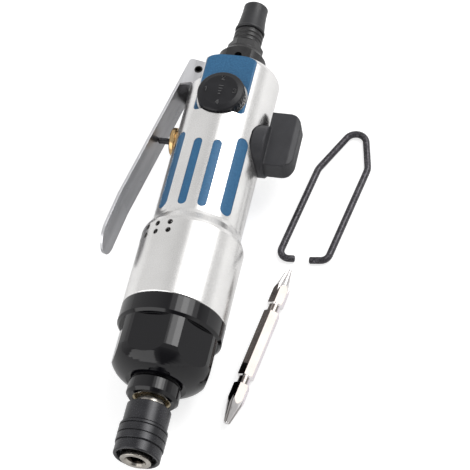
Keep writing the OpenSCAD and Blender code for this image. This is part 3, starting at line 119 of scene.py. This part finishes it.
# Dial: its place from the frame, and the relief on its top and its side
dial_low, dial_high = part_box("regulator_dial")
DIAL_Y = (dial_low[1] + dial_high[1]) / 2 / MM
DIAL_R = (dial_high[0] - dial_low[0]) / 2 / MM
DIAL_BOTTOM = dial_low[2] / MM
DIAL_TOP = dial_high[2] / MM
MARK_LOW = DIAL_TOP - 0.1
MARK_HIGH = DIAL_TOP + 0.25
FIGURE_R = 6.3
FIGURE_HALF_H = 1.1
FIGURE_HALF_LINE = 0.16
# Figures 1 to 4: the angle of each one's place, and its strokes in a field from -1 to 1
FIGURES = (
    (180, [[(-0.3, 0.55), (0.1, 1.0), (0.1, -1.0)]]),
    (90, [[(-0.55, 0.55), (-0.35, 0.9), (0.0, 1.0), (0.35, 0.9), (0.55, 0.5), (0.4, 0.1), (-0.55, -1.0),
           (0.6, -1.0)]]),
    (0, [[(-0.5, 0.75), (0.0, 1.0), (0.45, 0.8), (0.45, 0.3), (0.0, 0.05)],
         [(0.0, 0.05), (0.5, -0.2), (0.5, -0.75), (0.0, -1.0), (-0.5, -0.75)]]),
    (-90, [[(0.3, -1.0), (0.3, 1.0), (-0.6, -0.35), (0.6, -0.35)]]),
)
# Scale in the middle of the dial: bars, the first of them short and each next one longer
BARS = 4
BAR_PITCH = 1.4
BAR_HALF_L = 0.35
BAR_GROWTH = 0.15
BAR_HALF_LINE = 0.17
# Width of a raised line's foot, as a share of the width of its top
FOOT_SHARE = 1.25
# Grip ridges round the side of the dial
RIDGES = 40
RIDGE_FOOT_R = DIAL_R - 0.2
RIDGE_HEIGHT = 0.42
RIDGE_FOOT_HALF_W = 0.42
RIDGE_CREST_HALF_W = 0.2
RIDGE_LOW = DIAL_BOTTOM + 0.6
RIDGE_HIGH = DIAL_TOP - 1.7

# Walls: tone by degrees about the tool's axis, from straight up, positive toward the reverse lever
SIDE_WALL = [(-180, 0.6), (-150, 0.69), (-90, 0.7), (-60, 0.74), (-30, 0.7), (-12, 0.56), (-3, 0.48),
             (4, 0.6), (62, 0.6), (69, 0.5), (78, 0.66), (95, 0.79), (115, 0.73), (153, 0.66), (180, 0.6)]
FRONT_WALL = [(-180, 0.5), (-6, 0.5), (6, 0.25), (46, 0.23), (58, 0.95), (120, 0.95), (180, 0.6)]
NOSE_WALL = [(-180, 1.2), (-60, 1.2), (-40, 0.85), (-15, 0.5), (-3, 0.36), (8, 0.17), (45, 0.17),
             (60, 0.5), (75, 0.9), (100, 1.0), (180, 1.1)]
REAR_WALL = [(-180, 0.6), (-60, 0.62), (-30, 0.66), (0, 0.76), (30, 0.95), (60, 0.74), (100, 0.7),
             (180, 0.6)]
# Walls laid over the side wall toward the ends: the Y of a direction where each begins and is complete
END_WALLS = ((FRONT_WALL, -0.1, -0.42), (NOSE_WALL, -0.55, -0.72), (REAR_WALL, 0.6, 0.85))
# Bright screen in front of the nose, low on the left: directions of its corners, tone and edge width
SCREEN_CORNERS = [Vector((-0.823, -0.451, 0.345)), Vector((-0.143, -0.590, 0.795)),
                  Vector((-0.097, -0.994, 0.057)), Vector((-0.728, -0.653, -0.210))]
SCREEN_TONE = 2.0
SCREEN_EDGE = 0.02

# Key light: strips side by side, dimmer toward both edges
KEY_AIM = Vector((0, 90, 0))
KEY_DIRECTION = Vector((0.473, 0.495, 0.729))
KEY_DISTANCE = 1500
KEY_TONES = (0.7, 3.4, 5.6, 3.4, 0.7)
STRIP_W = 310
STRIP_H = 900

# Floor: a light of its own, for the camera and in reflections, makes it white or pale there
FLOOR_HALF = 4000
FLOOR_GAP = 0.02
FLOOR_TONE = 0.62
FLOOR_ROUGH = 0.9
FLOOR_SPECULAR = 0.1
FLOOR_LIGHT_SEEN = 0.68
FLOOR_LIGHT_REFLECTED = 0.3


# Helpers
def new_object(name, data):
    thing = bpy.data.objects.new(name, data)
    bpy.context.scene.collection.objects.link(thing)
    return thing


def placed(right, up, back, place):
    """Matrix of a camera or a lamp, from its own three directions and its place in metres."""
    return Matrix((
        (right.x, up.x, back.x, place.x),
        (right.y, up.y, back.y, place.y),
        (right.z, up.z, back.z, place.z),
        (0, 0, 0, 1),
    ))


def linear(value):
    return value / 12.92 if value <= 0.04045 else ((value + 0.055) / 1.055) ** 2.4


def rgb(r, g, b):
    """Linear colour from values that a screen shows."""
    return (linear(r), linear(g), linear(b), 1)


def grey(tone):
    """Linear grey from a linear tone."""
    return (tone, tone, tone, 1)


WHITE = grey(1)


# Shader nodes
def add_node(tree, kind, inputs, output, **settings):
    """Add a node and return one of its outputs. An input is a plain value or another node's output."""
    node = tree.nodes.new(kind)
    for key, value in settings.items():
        setattr(node, key, value)
    for key, value in inputs.items():
        if isinstance(value, bpy.types.NodeSocket):
            tree.links.new(value, node.inputs[key])
        else:
            node.inputs[key].default_value = value
    return node.outputs[output]


def add_range(tree, value, low, high, low_result=0.0, high_result=1.0):
    """Map a value between low and high to the span of the results, and hold it at their ends."""
    inputs = {"Value": value, "From Min": low, "From Max": high, "To Min": low_result, "To Max": high_result}
    return add_node(tree, "ShaderNodeMapRange", inputs, "Result")


def add_ramp(tree, value, stops):
    """Colour by a value from 0 to 1, through stops of a value and a colour each."""
    ramp = tree.nodes.new("ShaderNodeValToRGB")
    elements = ramp.color_ramp.elements
    for i, (stop, color) in enumerate(stops):
        # a new ramp has two stops already
        if i < 2:
            elements[i].position = stop
        else:
            elements.new(stop)
        elements[i].color = color
    tree.links.new(value, ramp.inputs["Fac"])
    return ramp.outputs["Color"]


def add_mix(tree, share, first, second, blend_type="MIX"):
    inputs = {"Fac": share, "Color1": first, "Color2": second}
    return add_node(tree, "ShaderNodeMixRGB", inputs, "Color", blend_type=blend_type)


def add_math(tree, operation, *values):
    return add_node(tree, "ShaderNodeMath", dict(enumerate(values)), "Value", operation=operation)


def add_dot(tree, vector, direction):
    inputs = {0: vector, 1: direction}
    return add_node(tree, "ShaderNodeVectorMath", inputs, "Value", operation="DOT_PRODUCT")


# Finishes
def new_material(name):
    """Material with its node tree and its shader."""
    material = bpy.data.materials.new(name)
    material.use_nodes = True
    return material, material.node_tree, material.node_tree.nodes["Principled BSDF"]


def surface(name, dark, light, metal, rough, spread, grain, grain_height, patch,
            stretch=(1, 1, 1), edge=0.0, specular=0.5):
    """Procedural finish: patches between two colours, uneven roughness and a fine grain.

    The roughness varies by spread either way, grain and patch are the scales of the two noises, and
    edge is the radius by which edges look rounded."""
    material, tree, shader = new_material(name)
    place = add_node(tree, "ShaderNodeTexCoord", {}, "Object")
    place = add_node(tree, "ShaderNodeMapping", {"Vector": place, "Scale": stretch}, "Vector")
    fine = {"Vector": place, "Scale": grain, "Detail": FINE_DETAIL}
    fine = add_node(tree, "ShaderNodeTexNoise", fine, "Fac")
    wide = {"Vector": place, "Scale": patch, "Detail": WIDE_DETAIL}
    wide = add_node(tree, "ShaderNodeTexNoise", wide, "Fac")
    relief = {"Height": fine, "Distance": grain_height * MM}
    if edge:
        relief["Normal"] = add_node(tree, "ShaderNodeBevel", {"Radius": edge * MM}, "Normal")
    color = add_ramp(tree, wide, zip(WIDE_SPAN, (dark, light)))
    roughness = add_range(tree, fine, *FINE_SPAN, rough - spread, rough + spread)
    tree.links.new(color, shader.inputs["Base Color"])
    tree.links.new(roughness, shader.inputs["Roughness"])
    tree.links.new(add_node(tree, "ShaderNodeBump", relief, "Normal"), shader.inputs["Normal"])
    shader.inputs["Metallic"].default_value = metal
    shader.inputs["Specular IOR Level"].default_value = specular
    return material


def paint_light_by_side(material, side, spared, stops):
    """Multiply a finish by painted light and shade: a tone that goes by how far a face looks to one side of
    its piece.

    A stop at 1 is for faces that look straight to that side, and at -1 straight away from it. Faces
    that look along the spared direction, either way, keep the plain finish."""
    tree = material.node_tree
    base = tree.nodes["Principled BSDF"].inputs["Base Color"]
    normal = add_node(tree, "ShaderNodeTexCoord", {}, "Normal")
    sideways = add_range(tree, add_dot(tree, normal, side), -1, 1)
    endways = add_math(tree, "ABSOLUTE", add_dot(tree, normal, spared))
    tone = add_ramp(tree, sideways, [((stop + 1) / 2, color) for stop, color in stops])
    tone = add_mix(tree, add_range(tree, endways, *SPARED_SPAN), tone, WHITE)
    tree.links.new(add_mix(tree, 1, base.links[0].from_socket, tone, "MULTIPLY"), base)


def paint_bore_shade(material, low, high, dark):
    """Paint shade into a finish near the tool's axis, deep in the bore, with a soft edge."""
    tree = material.node_tree
    base = tree.nodes["Principled BSDF"].inputs["Base Color"]
    place = add_node(tree, "ShaderNodeTexCoord", {}, "Object")
    across = add_node(tree, "ShaderNodeVectorMath", {0: place, 1: (1, 0, 1)}, "Vector", operation="MULTIPLY")
    radius = add_node(tree, "ShaderNodeVectorMath", {0: across}, "Value", operation="LENGTH")
    plain = add_range(tree, radius, low * MM, high * MM)
    tree.links.new(add_mix(tree, plain, dark, base.links[0].from_socket), base)


def dress(material, *names):
    """Give a finish to nodes of the CAD model."""
    for name in names:
        for slot in nodes[name].material_slots:
            slot.material = material


# Barrel and grip
aluminium = surface("aluminium_satin", rgb(0.93, 0.925, 0.92), rgb(0.96, 0.955, 0.95), metal=1, rough=0.26,
                    spread=0.03, grain=2600, grain_height=0.0015, patch=60)
dress(aluminium, "body_housing")

# Panel under the dial and inlays of the grip
blue = surface("blue_panel", rgb(0.13, 0.345, 0.5), rgb(0.185, 0.415, 0.58), metal=0.1, rough=0.42,
               spread=0.08, grain=2200, grain_height=0.006, patch=1500, edge=0.15)
dress(blue, "regulator_panel", "grip_inlays")

# Glossy front housing
gloss = surface("black_gloss", rgb(0.03, 0.027, 0.045), rgb(0.045, 0.042, 0.06), metal=0, rough=0.08,
                spread=0.02, grain=500, grain_height=0.0006, patch=60, edge=0.25, specular=0.42)
dress(gloss, "front_housing")

# Blackened steel
oxide = surface("black_oxide", rgb(0.14, 0.14, 0.155), rgb(0.18, 0.18, 0.195), metal=0.2, rough=0.26,
                spread=0.03, grain=1800, grain_height=0.001, patch=200, edge=0.2)
dress(oxide, "chuck_sleeve", "chuck_clip", "valve_stem")

# Hose end
inlet = surface("inlet_black", rgb(0.13, 0.127, 0.13), rgb(0.18, 0.177, 0.18), metal=0.1, rough=0.36,
                spread=0.06, grain=1600, grain_height=0.003, patch=250, edge=0.2)
dress(inlet, "inlet_bushing", "hose_nipple")

# Figures and scale on the dial
mark = surface("dial_relief", rgb(0.28, 0.28, 0.285), rgb(0.36, 0.36, 0.365), metal=0, rough=0.4,
               spread=0.06, grain=1600, grain_height=0.004, patch=300)

# Reverse lever
wing = surface("wing_black", rgb(0.155, 0.155, 0.17), rgb(0.185, 0.185, 0.2), metal=0, rough=0.5,
               spread=0.06, grain=2400, grain_height=0.006, patch=150, edge=1.0)
dress(wing, "reverse_lever")

# Dial
dial = surface("dial_black", rgb(0.075, 0.075, 0.09), rgb(0.11, 0.11, 0.125), metal=0, rough=0.4,
               spread=0.05, grain=1800, grain_height=0.004, patch=200, edge=0.25, specular=0.35)
dress(dial, "regulator_dial")

# Seals
rubber = surface("black_rubber", rgb(0.1, 0.1, 0.1), rgb(0.14, 0.14, 0.14), metal=0, rough=0.7,
                 spread=0.08, grain=1800, grain_height=0.01, patch=300)
dress(rubber, "inlet_seal", "poppet_seal", "stem_seal", "spool_seal", "dial_seal")

# Hose sleeve
sleeve = surface("grey_rubber", rgb(0.13, 0.13, 0.14), rgb(0.17, 0.17, 0.18), metal=0, rough=0.42,
                 spread=0.08, grain=1500, grain_height=0.008, patch=200, edge=0.2)
dress(sleeve, "hose_sleeve")

# Throttle lever, with painted shade: a little darker on the side toward the grip
lever = surface("lever_steel", rgb(0.84, 0.84, 0.85), rgb(0.94, 0.94, 0.95), metal=1, rough=0.33,
                spread=0.06, grain=900, grain_height=0.002, patch=150, stretch=(1, 0.15, 1), edge=0.25)
paint_light_by_side(lever, Vector((1, 0, 0)), Vector((0, 0, 1)),
             [(-0.3, rgb(0.8, 0.8, 0.81)), (0.3, rgb(0.78, 0.78, 0.785)), (0.7, rgb(0.72, 0.72, 0.725))])
dress(lever, "throttle_lever")

# Pin of the throttle lever
pin = surface("dark_pin", rgb(0.2, 0.2, 0.2), rgb(0.28, 0.28, 0.28), metal=0.8, rough=0.3,
              spread=0.06, grain=1500, grain_height=0.003, patch=300, edge=0.15)
dress(pin, "lever_pin")

# Ground steel of the parts inside
steel = surface("ground_steel", rgb(0.74, 0.74, 0.75), rgb(0.82, 0.82, 0.83), metal=1, rough=0.25,
                spread=0.06, grain=1500, grain_height=0.003, patch=200)
dress(steel, "inlet_strainer", "valve_spring", "reverse_spool", "reverse_detent_ball",
      "reverse_detent_spring", "regulator_spool", "dial_detent_ball", "dial_detent_spring",
      "rear_end_plate", "rear_bearing", "cylinder_liner", "front_end_plate", "front_bearing",
      "dowel_pin", "hammer_pins", "chuck_spring", "chuck_balls", "chuck_washer", "spool_clip")

# Hardened steel of the rotor and the hammers
hard = surface("hard_steel", rgb(0.6, 0.59, 0.58), rgb(0.7, 0.69, 0.68), metal=1, rough=0.28,
               spread=0.06, grain=1500, grain_height=0.003, patch=200)
dress(hard, "rotor", "hammer_cage", "hammer_front", "hammer_rear")

# Anvil, with painted shade deep in its socket
anvil = surface("anvil_steel", rgb(0.62, 0.6, 0.57), rgb(0.74, 0.72, 0.69), metal=1, rough=0.22,
                spread=0.06, grain=1500, grain_height=0.003, patch=300, edge=0.2)
paint_bore_shade(anvil, SHADE_R, UNSHADED_R, rgb(0.16, 0.14, 0.12))
dress(anvil, "anvil")

# Nose bushing
bronze = surface("bronze", rgb(0.66, 0.61, 0.5), rgb(0.78, 0.73, 0.62), metal=1, rough=0.28,
                 spread=0.06, grain=1500, grain_height=0.004, patch=300, edge=0.15)
dress(bronze, "anvil_bushing")

# Valve bushing
brass = surface("brass", rgb(0.8, 0.66, 0.46), rgb(0.88, 0.75, 0.55), metal=1, rough=0.22,
                spread=0.05, grain=1500, grain_height=0.003, patch=200, edge=0.2)
dress(brass, "valve_bushing")

# Bit, painted dark on its left side as painted shade and bright on its right one as a painted highlight
chrome = surface("chrome", rgb(0.93, 0.92, 0.92), rgb(0.97, 0.96, 0.96), metal=1, rough=0.09,
                 spread=0.02, grain=900, grain_height=0.001, patch=150, edge=0.12)
paint_light_by_side(chrome, BIT_SIDE, BIT_AXIS,
             [(-0.3, rgb(0.42, 0.4, 0.39)), (-0.1, rgb(0.5, 0.48, 0.47)), (0.2, rgb(0.6, 0.58, 0.56)),
              (0.7, rgb(0.6, 0.585, 0.57)), (0.95, rgb(1, 0.98, 1))])
dress(chrome, "screwdriver_bit")

# Hanger: its light speckles are partly rust and partly painted highlights
wire = surface("wire_black", rgb(0.17, 0.165, 0.18), rgb(0.34, 0.33, 0.35), metal=0.5, rough=0.34,
               spread=0.1, grain=900, grain_height=0.004, patch=1300)
dress(wire, "hanger_wire")

# Vanes
vane = surface("vane_laminate", rgb(0.4, 0.26, 0.15), rgb(0.5, 0.34, 0.2), metal=0, rough=0.6,
               spread=0.08, grain=900, grain_height=0.01, patch=400, stretch=(1, 0.2, 1))
dress(vane, "vanes")

# Gasket
gasket = surface("gasket", rgb(0.25, 0.25, 0.25), rgb(0.32, 0.32, 0.32), metal=0, rough=0.8,
                 spread=0.08, grain=1500, grain_height=0.01, patch=400)
dress(gasket, "housing_gasket")


# Pieces
def piece(name, vertices, faces, material, body, slot, smooth=True):
    """New mesh with its faces turned outward, which rides on a body of the CAD model."""
    mesh = bpy.data.meshes.new(name)
    mesh.from_pydata([tuple(v) for v in vertices], [], faces)
    mesh.update()
    work = bmesh.new()
    work.from_mesh(mesh)
    bmesh.ops.recalc_face_normals(work, faces=work.faces)
    work.to_mesh(mesh)
    work.free()
    if smooth:
        mesh.shade_smooth()
        mesh.set_sharp_from_angle(angle=SHARP_ANGLE)
    mesh.materials.append(material)
    obj = new_object(name, mesh)
    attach(obj, body)
    return obj


def join(parts):
    """Vertices and faces of several solids as one list of each."""
    vertices, faces = [], []
    for part_vertices, part_faces in parts:
        first = len(vertices)
        vertices += part_vertices
        faces += [tuple(first + i for i in face) for face in part_faces]
    return vertices, faces


def tube(path, radius, sides):
    """Round wire with rounded ends, along stations of u, v and the direction of the outer side."""

    def end_rings(station, sign):
        u, v, turn = station
        # the path runs a quarter turn past the outer side
        ahead = turn + math.pi / 2
        return [(u + sign * back * radius * math.cos(ahead), v + sign * back * radius * math.sin(ahead),
                 turn, radius * share) for share, back in WIRE_END]

    rings = end_rings(path[0], 1)
    rings += [(u, v, turn, radius) for u, v, turn in path[1:-1]]
    rings += reversed(end_rings(path[-1], -1))
    vertices, faces = [], []
    for u, v, turn, r in rings:
        for k in range(sides):
            angle = 2 * math.pi * k / sides
            out = r * math.cos(angle)
            vertices.append((u + out * math.cos(turn), v + out * math.sin(turn), r * math.sin(angle)))
    for i in range(len(rings) - 1):
        here, there = i * sides, (i + 1) * sides
        for k in range(sides):
            n = (k + 1) % sides
            faces.append((here + k, here + n, there + n, there + k))
    last_ring = len(vertices) - sides
    faces.append(tuple(range(sides)))
    faces.append(tuple(range(last_ring, last_ring + sides)))
    return vertices, faces


def bend(u, v, r, start, end):
    """Stations round a centre, from one direction of the outer side to another."""
    steps = max(2, int(abs(end - start) / BEND_STEP))
    turns = [start + (end - start) * i / steps for i in range(steps + 1)]
    return [(u + r * math.cos(a), v + r * math.sin(a), a) for a in turns]


def hanger_half(half):
    """Stations from the end of the hook to the elbow, in a half whose leg is on the right."""
    hook, roof = half["hook"], half["roof"]
    hook_end = (HOOK_END_U, half["foot"] - (LEG_U - HOOK_END_U) * math.tan(hook), hook - math.pi / 2)
    foot_v = half["foot"] + BEND_R * math.tan((math.pi / 2 - hook) / 2)
    elbow_v = half["elbow"] - ELBOW_R * math.tan(roof / 2)
    foot = bend(LEG_U - BEND_R, foot_v, BEND_R, hook - math.pi / 2, 0)
    elbow = bend(LEG_U - ELBOW_R, elbow_v, ELBOW_R, 0, roof)
    return [hook_end] + foot + elbow


def make_hanger():
    """Smooth round wire in place of the flat sided one of the CAD model."""
    left, right = HANGER_HALVES
    a, b = left["roof"], right["roof"]
    # the top bend's centre is the bend's radius away from both sides of the roof
    reach_a = LEG_U * math.cos(a) + left["elbow"] * math.sin(a) - TOP_R
    reach_b = LEG_U * math.cos(b) + right["elbow"] * math.sin(b) - TOP_R
    u = (reach_b * math.sin(a) - reach_a * math.sin(b)) / math.sin(a + b)
    v = (reach_b * math.cos(a) + reach_a * math.cos(b)) / math.sin(a + b)
    path = hanger_half(right) + bend(u, v, TOP_R, b, math.pi - a)
    path += [(-x, y, math.pi - turn) for x, y, turn in reversed(hanger_half(left))]
    vertices, faces = tube(path, WIRE_R, WIRE_SIDES)
    across = Vector((math.cos(HANGER_TURN), math.sin(HANGER_TURN), 0))
    along = Vector((-math.sin(HANGER_TURN), math.cos(HANGER_TURN), 0))
    middle = Vector((HANGER_X, HANGER_Y, FLOOR_Z + WIRE_R))
    vertices = [(middle + across * x + along * y + Vector((0, 0, z))) * MM for x, y, z in vertices]
    hanger = piece("hanger_tube", vertices, faces, wire, "hanger", "black_oxide")
    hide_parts("hanger_wire")


def raised_line(start, end, half_width):
    """Raised line with square ends between two points of the dial's top."""
    start, end = Vector(start), Vector(end)
    ahead = (end - start).normalized() * half_width
    side = Vector((-ahead.y, ahead.x))
    a, b = start - ahead, end + ahead
    ring = []
    for share, z in ((FOOT_SHARE, MARK_LOW), (1, MARK_HIGH)):
        for p in (a + side * share, b + side * share, b - side * share, a - side * share):
            ring.append(Vector((p.x, p.y + DIAL_Y, z)) * MM)
    return ring, [(0, 1, 2, 3), (4, 7, 6, 5), (0, 4, 5, 1), (1, 5, 6, 2), (2, 6, 7, 3), (3, 7, 4, 0)]


def make_dial_marks():
    """Figures 1 to 4, and a scale of bars that grow with the flow."""
    parts = []
    for angle, strokes in FIGURES:
        centre = Vector((math.cos(math.radians(angle)), math.sin(math.radians(angle)))) * FIGURE_R
        for stroke in strokes:
            points = [centre + Vector(p) * FIGURE_HALF_H for p in stroke]
            parts += [raised_line(p, q, FIGURE_HALF_LINE) for p, q in zip(points, points[1:])]
    for i in range(BARS):
        y = (i - (BARS - 1) / 2) * BAR_PITCH
        half_length = BAR_HALF_L + BAR_GROWTH * i
        parts.append(raised_line((-half_length, y), (half_length, y), BAR_HALF_LINE))
    piece("dial_marks", *join(parts), mark, "dial", "black_plastic", smooth=False)


def make_dial_ridges():
    """Grip ridges round the side of the dial."""
    parts = []
    for i in range(RIDGES):
        angle = 2 * math.pi * i / RIDGES
        out = Vector((math.cos(angle), math.sin(angle)))
        side = Vector((-out.y, out.x))
        ring = []
        for rise, half_width in ((0, RIDGE_FOOT_HALF_W), (RIDGE_HEIGHT, RIDGE_CREST_HALF_W)):
            for z in (RIDGE_LOW + rise, RIDGE_HIGH - rise):
                for sign in (-1, 1):
                    p = out * (RIDGE_FOOT_R + rise) + side * half_width * sign
                    ring.append(Vector((p.x, p.y + DIAL_Y, z)) * MM)
        parts.append((ring, [(0, 1, 3, 2), (4, 6, 7, 5), (0, 4, 5, 1), (2, 3, 7, 6), (0, 2, 6, 4),
                             (1, 5, 7, 3)]))
    piece("dial_ridges", *join(parts), dial, "dial", "black_plastic", smooth=False)


# Camera, walls, light and floor
def make_camera():
    level = math.cos(CAMERA_RISE)
    back = Vector((math.sin(CAMERA_TURN) * level, -math.cos(CAMERA_TURN) * level, math.sin(CAMERA_RISE)))
    right = Vector((math.cos(CAMERA_TURN), math.sin(CAMERA_TURN), 0))
    up = back.cross(right)
    rolled_right = right * math.cos(CAMERA_ROLL) - up * math.sin(CAMERA_ROLL)
    rolled_up = right * math.sin(CAMERA_ROLL) + up * math.cos(CAMERA_ROLL)
    data = bpy.data.cameras.new("camera")
    data.sensor_width = SENSOR_W
    data.lens = SENSOR_W * FOCAL_PX / PHOTO_PX
    data.clip_start = CLIP_START * MM
    data.clip_end = CLIP_END * MM
    camera = new_object("camera", data)
    place = CAMERA_AIM * MM + back * (CAMERA_DISTANCE * MM)
    camera.matrix_world = placed(rolled_right, rolled_up, back, place)
    bpy.context.scene.camera = camera


def make_world():
    """Studio walls, whose tone goes by the angle about the tool's axis and changes toward its ends."""
    world = bpy.data.worlds.new("studio")
    bpy.context.scene.world = world
    world.use_nodes = True
    tree = world.node_tree
    direction = add_node(tree, "ShaderNodeTexCoord", {}, "Generated")
    split = tree.nodes.new("ShaderNodeSeparateXYZ")
    tree.links.new(direction, split.inputs["Vector"])
    x, y, z = split.outputs
    around = add_range(tree, add_math(tree, "ARCTAN2", x, z), -math.pi, math.pi)

    def wall(stops):
        return add_ramp(tree, around, [((angle + 180) / 360, grey(tone)) for angle, tone in stops])

    tone = wall(SIDE_WALL)
    for stops, start, end in END_WALLS:
        tone = add_mix(tree, add_range(tree, y, start, end), tone, wall(stops))
    inside = 1.0
    for first, second in zip(SCREEN_CORNERS, SCREEN_CORNERS[1:] + SCREEN_CORNERS[:1]):
        inward = second.cross(first).normalized()
        share = add_range(tree, add_dot(tree, direction, inward), -SCREEN_EDGE, SCREEN_EDGE)
        inside = add_math(tree, "MULTIPLY", inside, share)
    tone = add_mix(tree, inside, tone, grey(SCREEN_TONE))
    seen = add_node(tree, "ShaderNodeLightPath", {}, "Is Camera Ray")
    tree.links.new(add_mix(tree, seen, tone, WHITE), tree.nodes["Background"].inputs["Color"])


def make_key_light():
    """Soft light from above, from the hose end and the side of the reverse lever."""
    direction = KEY_DIRECTION.normalized()
    axis = Vector((0, 1, 0))
    up = (axis - direction * axis.dot(direction)).normalized()
    right = up.cross(direction)
    width, height = STRIP_W * MM, STRIP_H * MM
    for i, tone in enumerate(KEY_TONES):
        data = bpy.data.lights.new("key_%d" % i, "AREA")
        data.shape = "RECTANGLE"
        data.size = width
        data.size_y = height
        data.energy = math.pi * width * height * tone
        shift = width * (i - (len(KEY_TONES) - 1) / 2)
        place = KEY_AIM * MM + direction * (KEY_DISTANCE * MM) + right * shift
        new_object("key_%d" % i, data).matrix_world = placed(right, up, direction, place)


def make_floor():
    """White to the camera, pale to metal and gloss, with the shadow of the object on it."""
    half = FLOOR_HALF * MM
    mesh = bpy.data.meshes.new("floor")
    corners = [(-half, -half, 0), (half, -half, 0), (half, half, 0), (-half, half, 0)]
    mesh.from_pydata(corners, [], [(0, 1, 2, 3)])
    floor = new_object("floor", mesh)
    floor.location.z = (FLOOR_Z - FLOOR_GAP) * MM
    material, tree, shader = new_material("floor_white")
    shader.inputs["Base Color"].default_value = grey(FLOOR_TONE)
    shader.inputs["Roughness"].default_value = FLOOR_ROUGH
    shader.inputs["Specular IOR Level"].default_value = FLOOR_SPECULAR
    shader.inputs["Emission Color"].default_value = WHITE
    rays = tree.nodes.new("ShaderNodeLightPath").outputs
    reflected = add_math(tree, "ADD", rays["Is Glossy Ray"], rays["Is Transmission Ray"])
    seen = add_math(tree, "MULTIPLY", rays["Is Camera Ray"], FLOOR_LIGHT_SEEN)
    light = add_math(tree, "MULTIPLY_ADD", reflected, FLOOR_LIGHT_REFLECTED, seen)
    tree.links.new(light, shader.inputs["Emission Strength"])
    mesh.materials.append(material)


make_camera()
make_world()
make_key_light()
make_floor()
make_hanger()
make_dial_marks()
make_dial_ridges()

bpy.context.scene.view_settings.view_transform = "Standard"
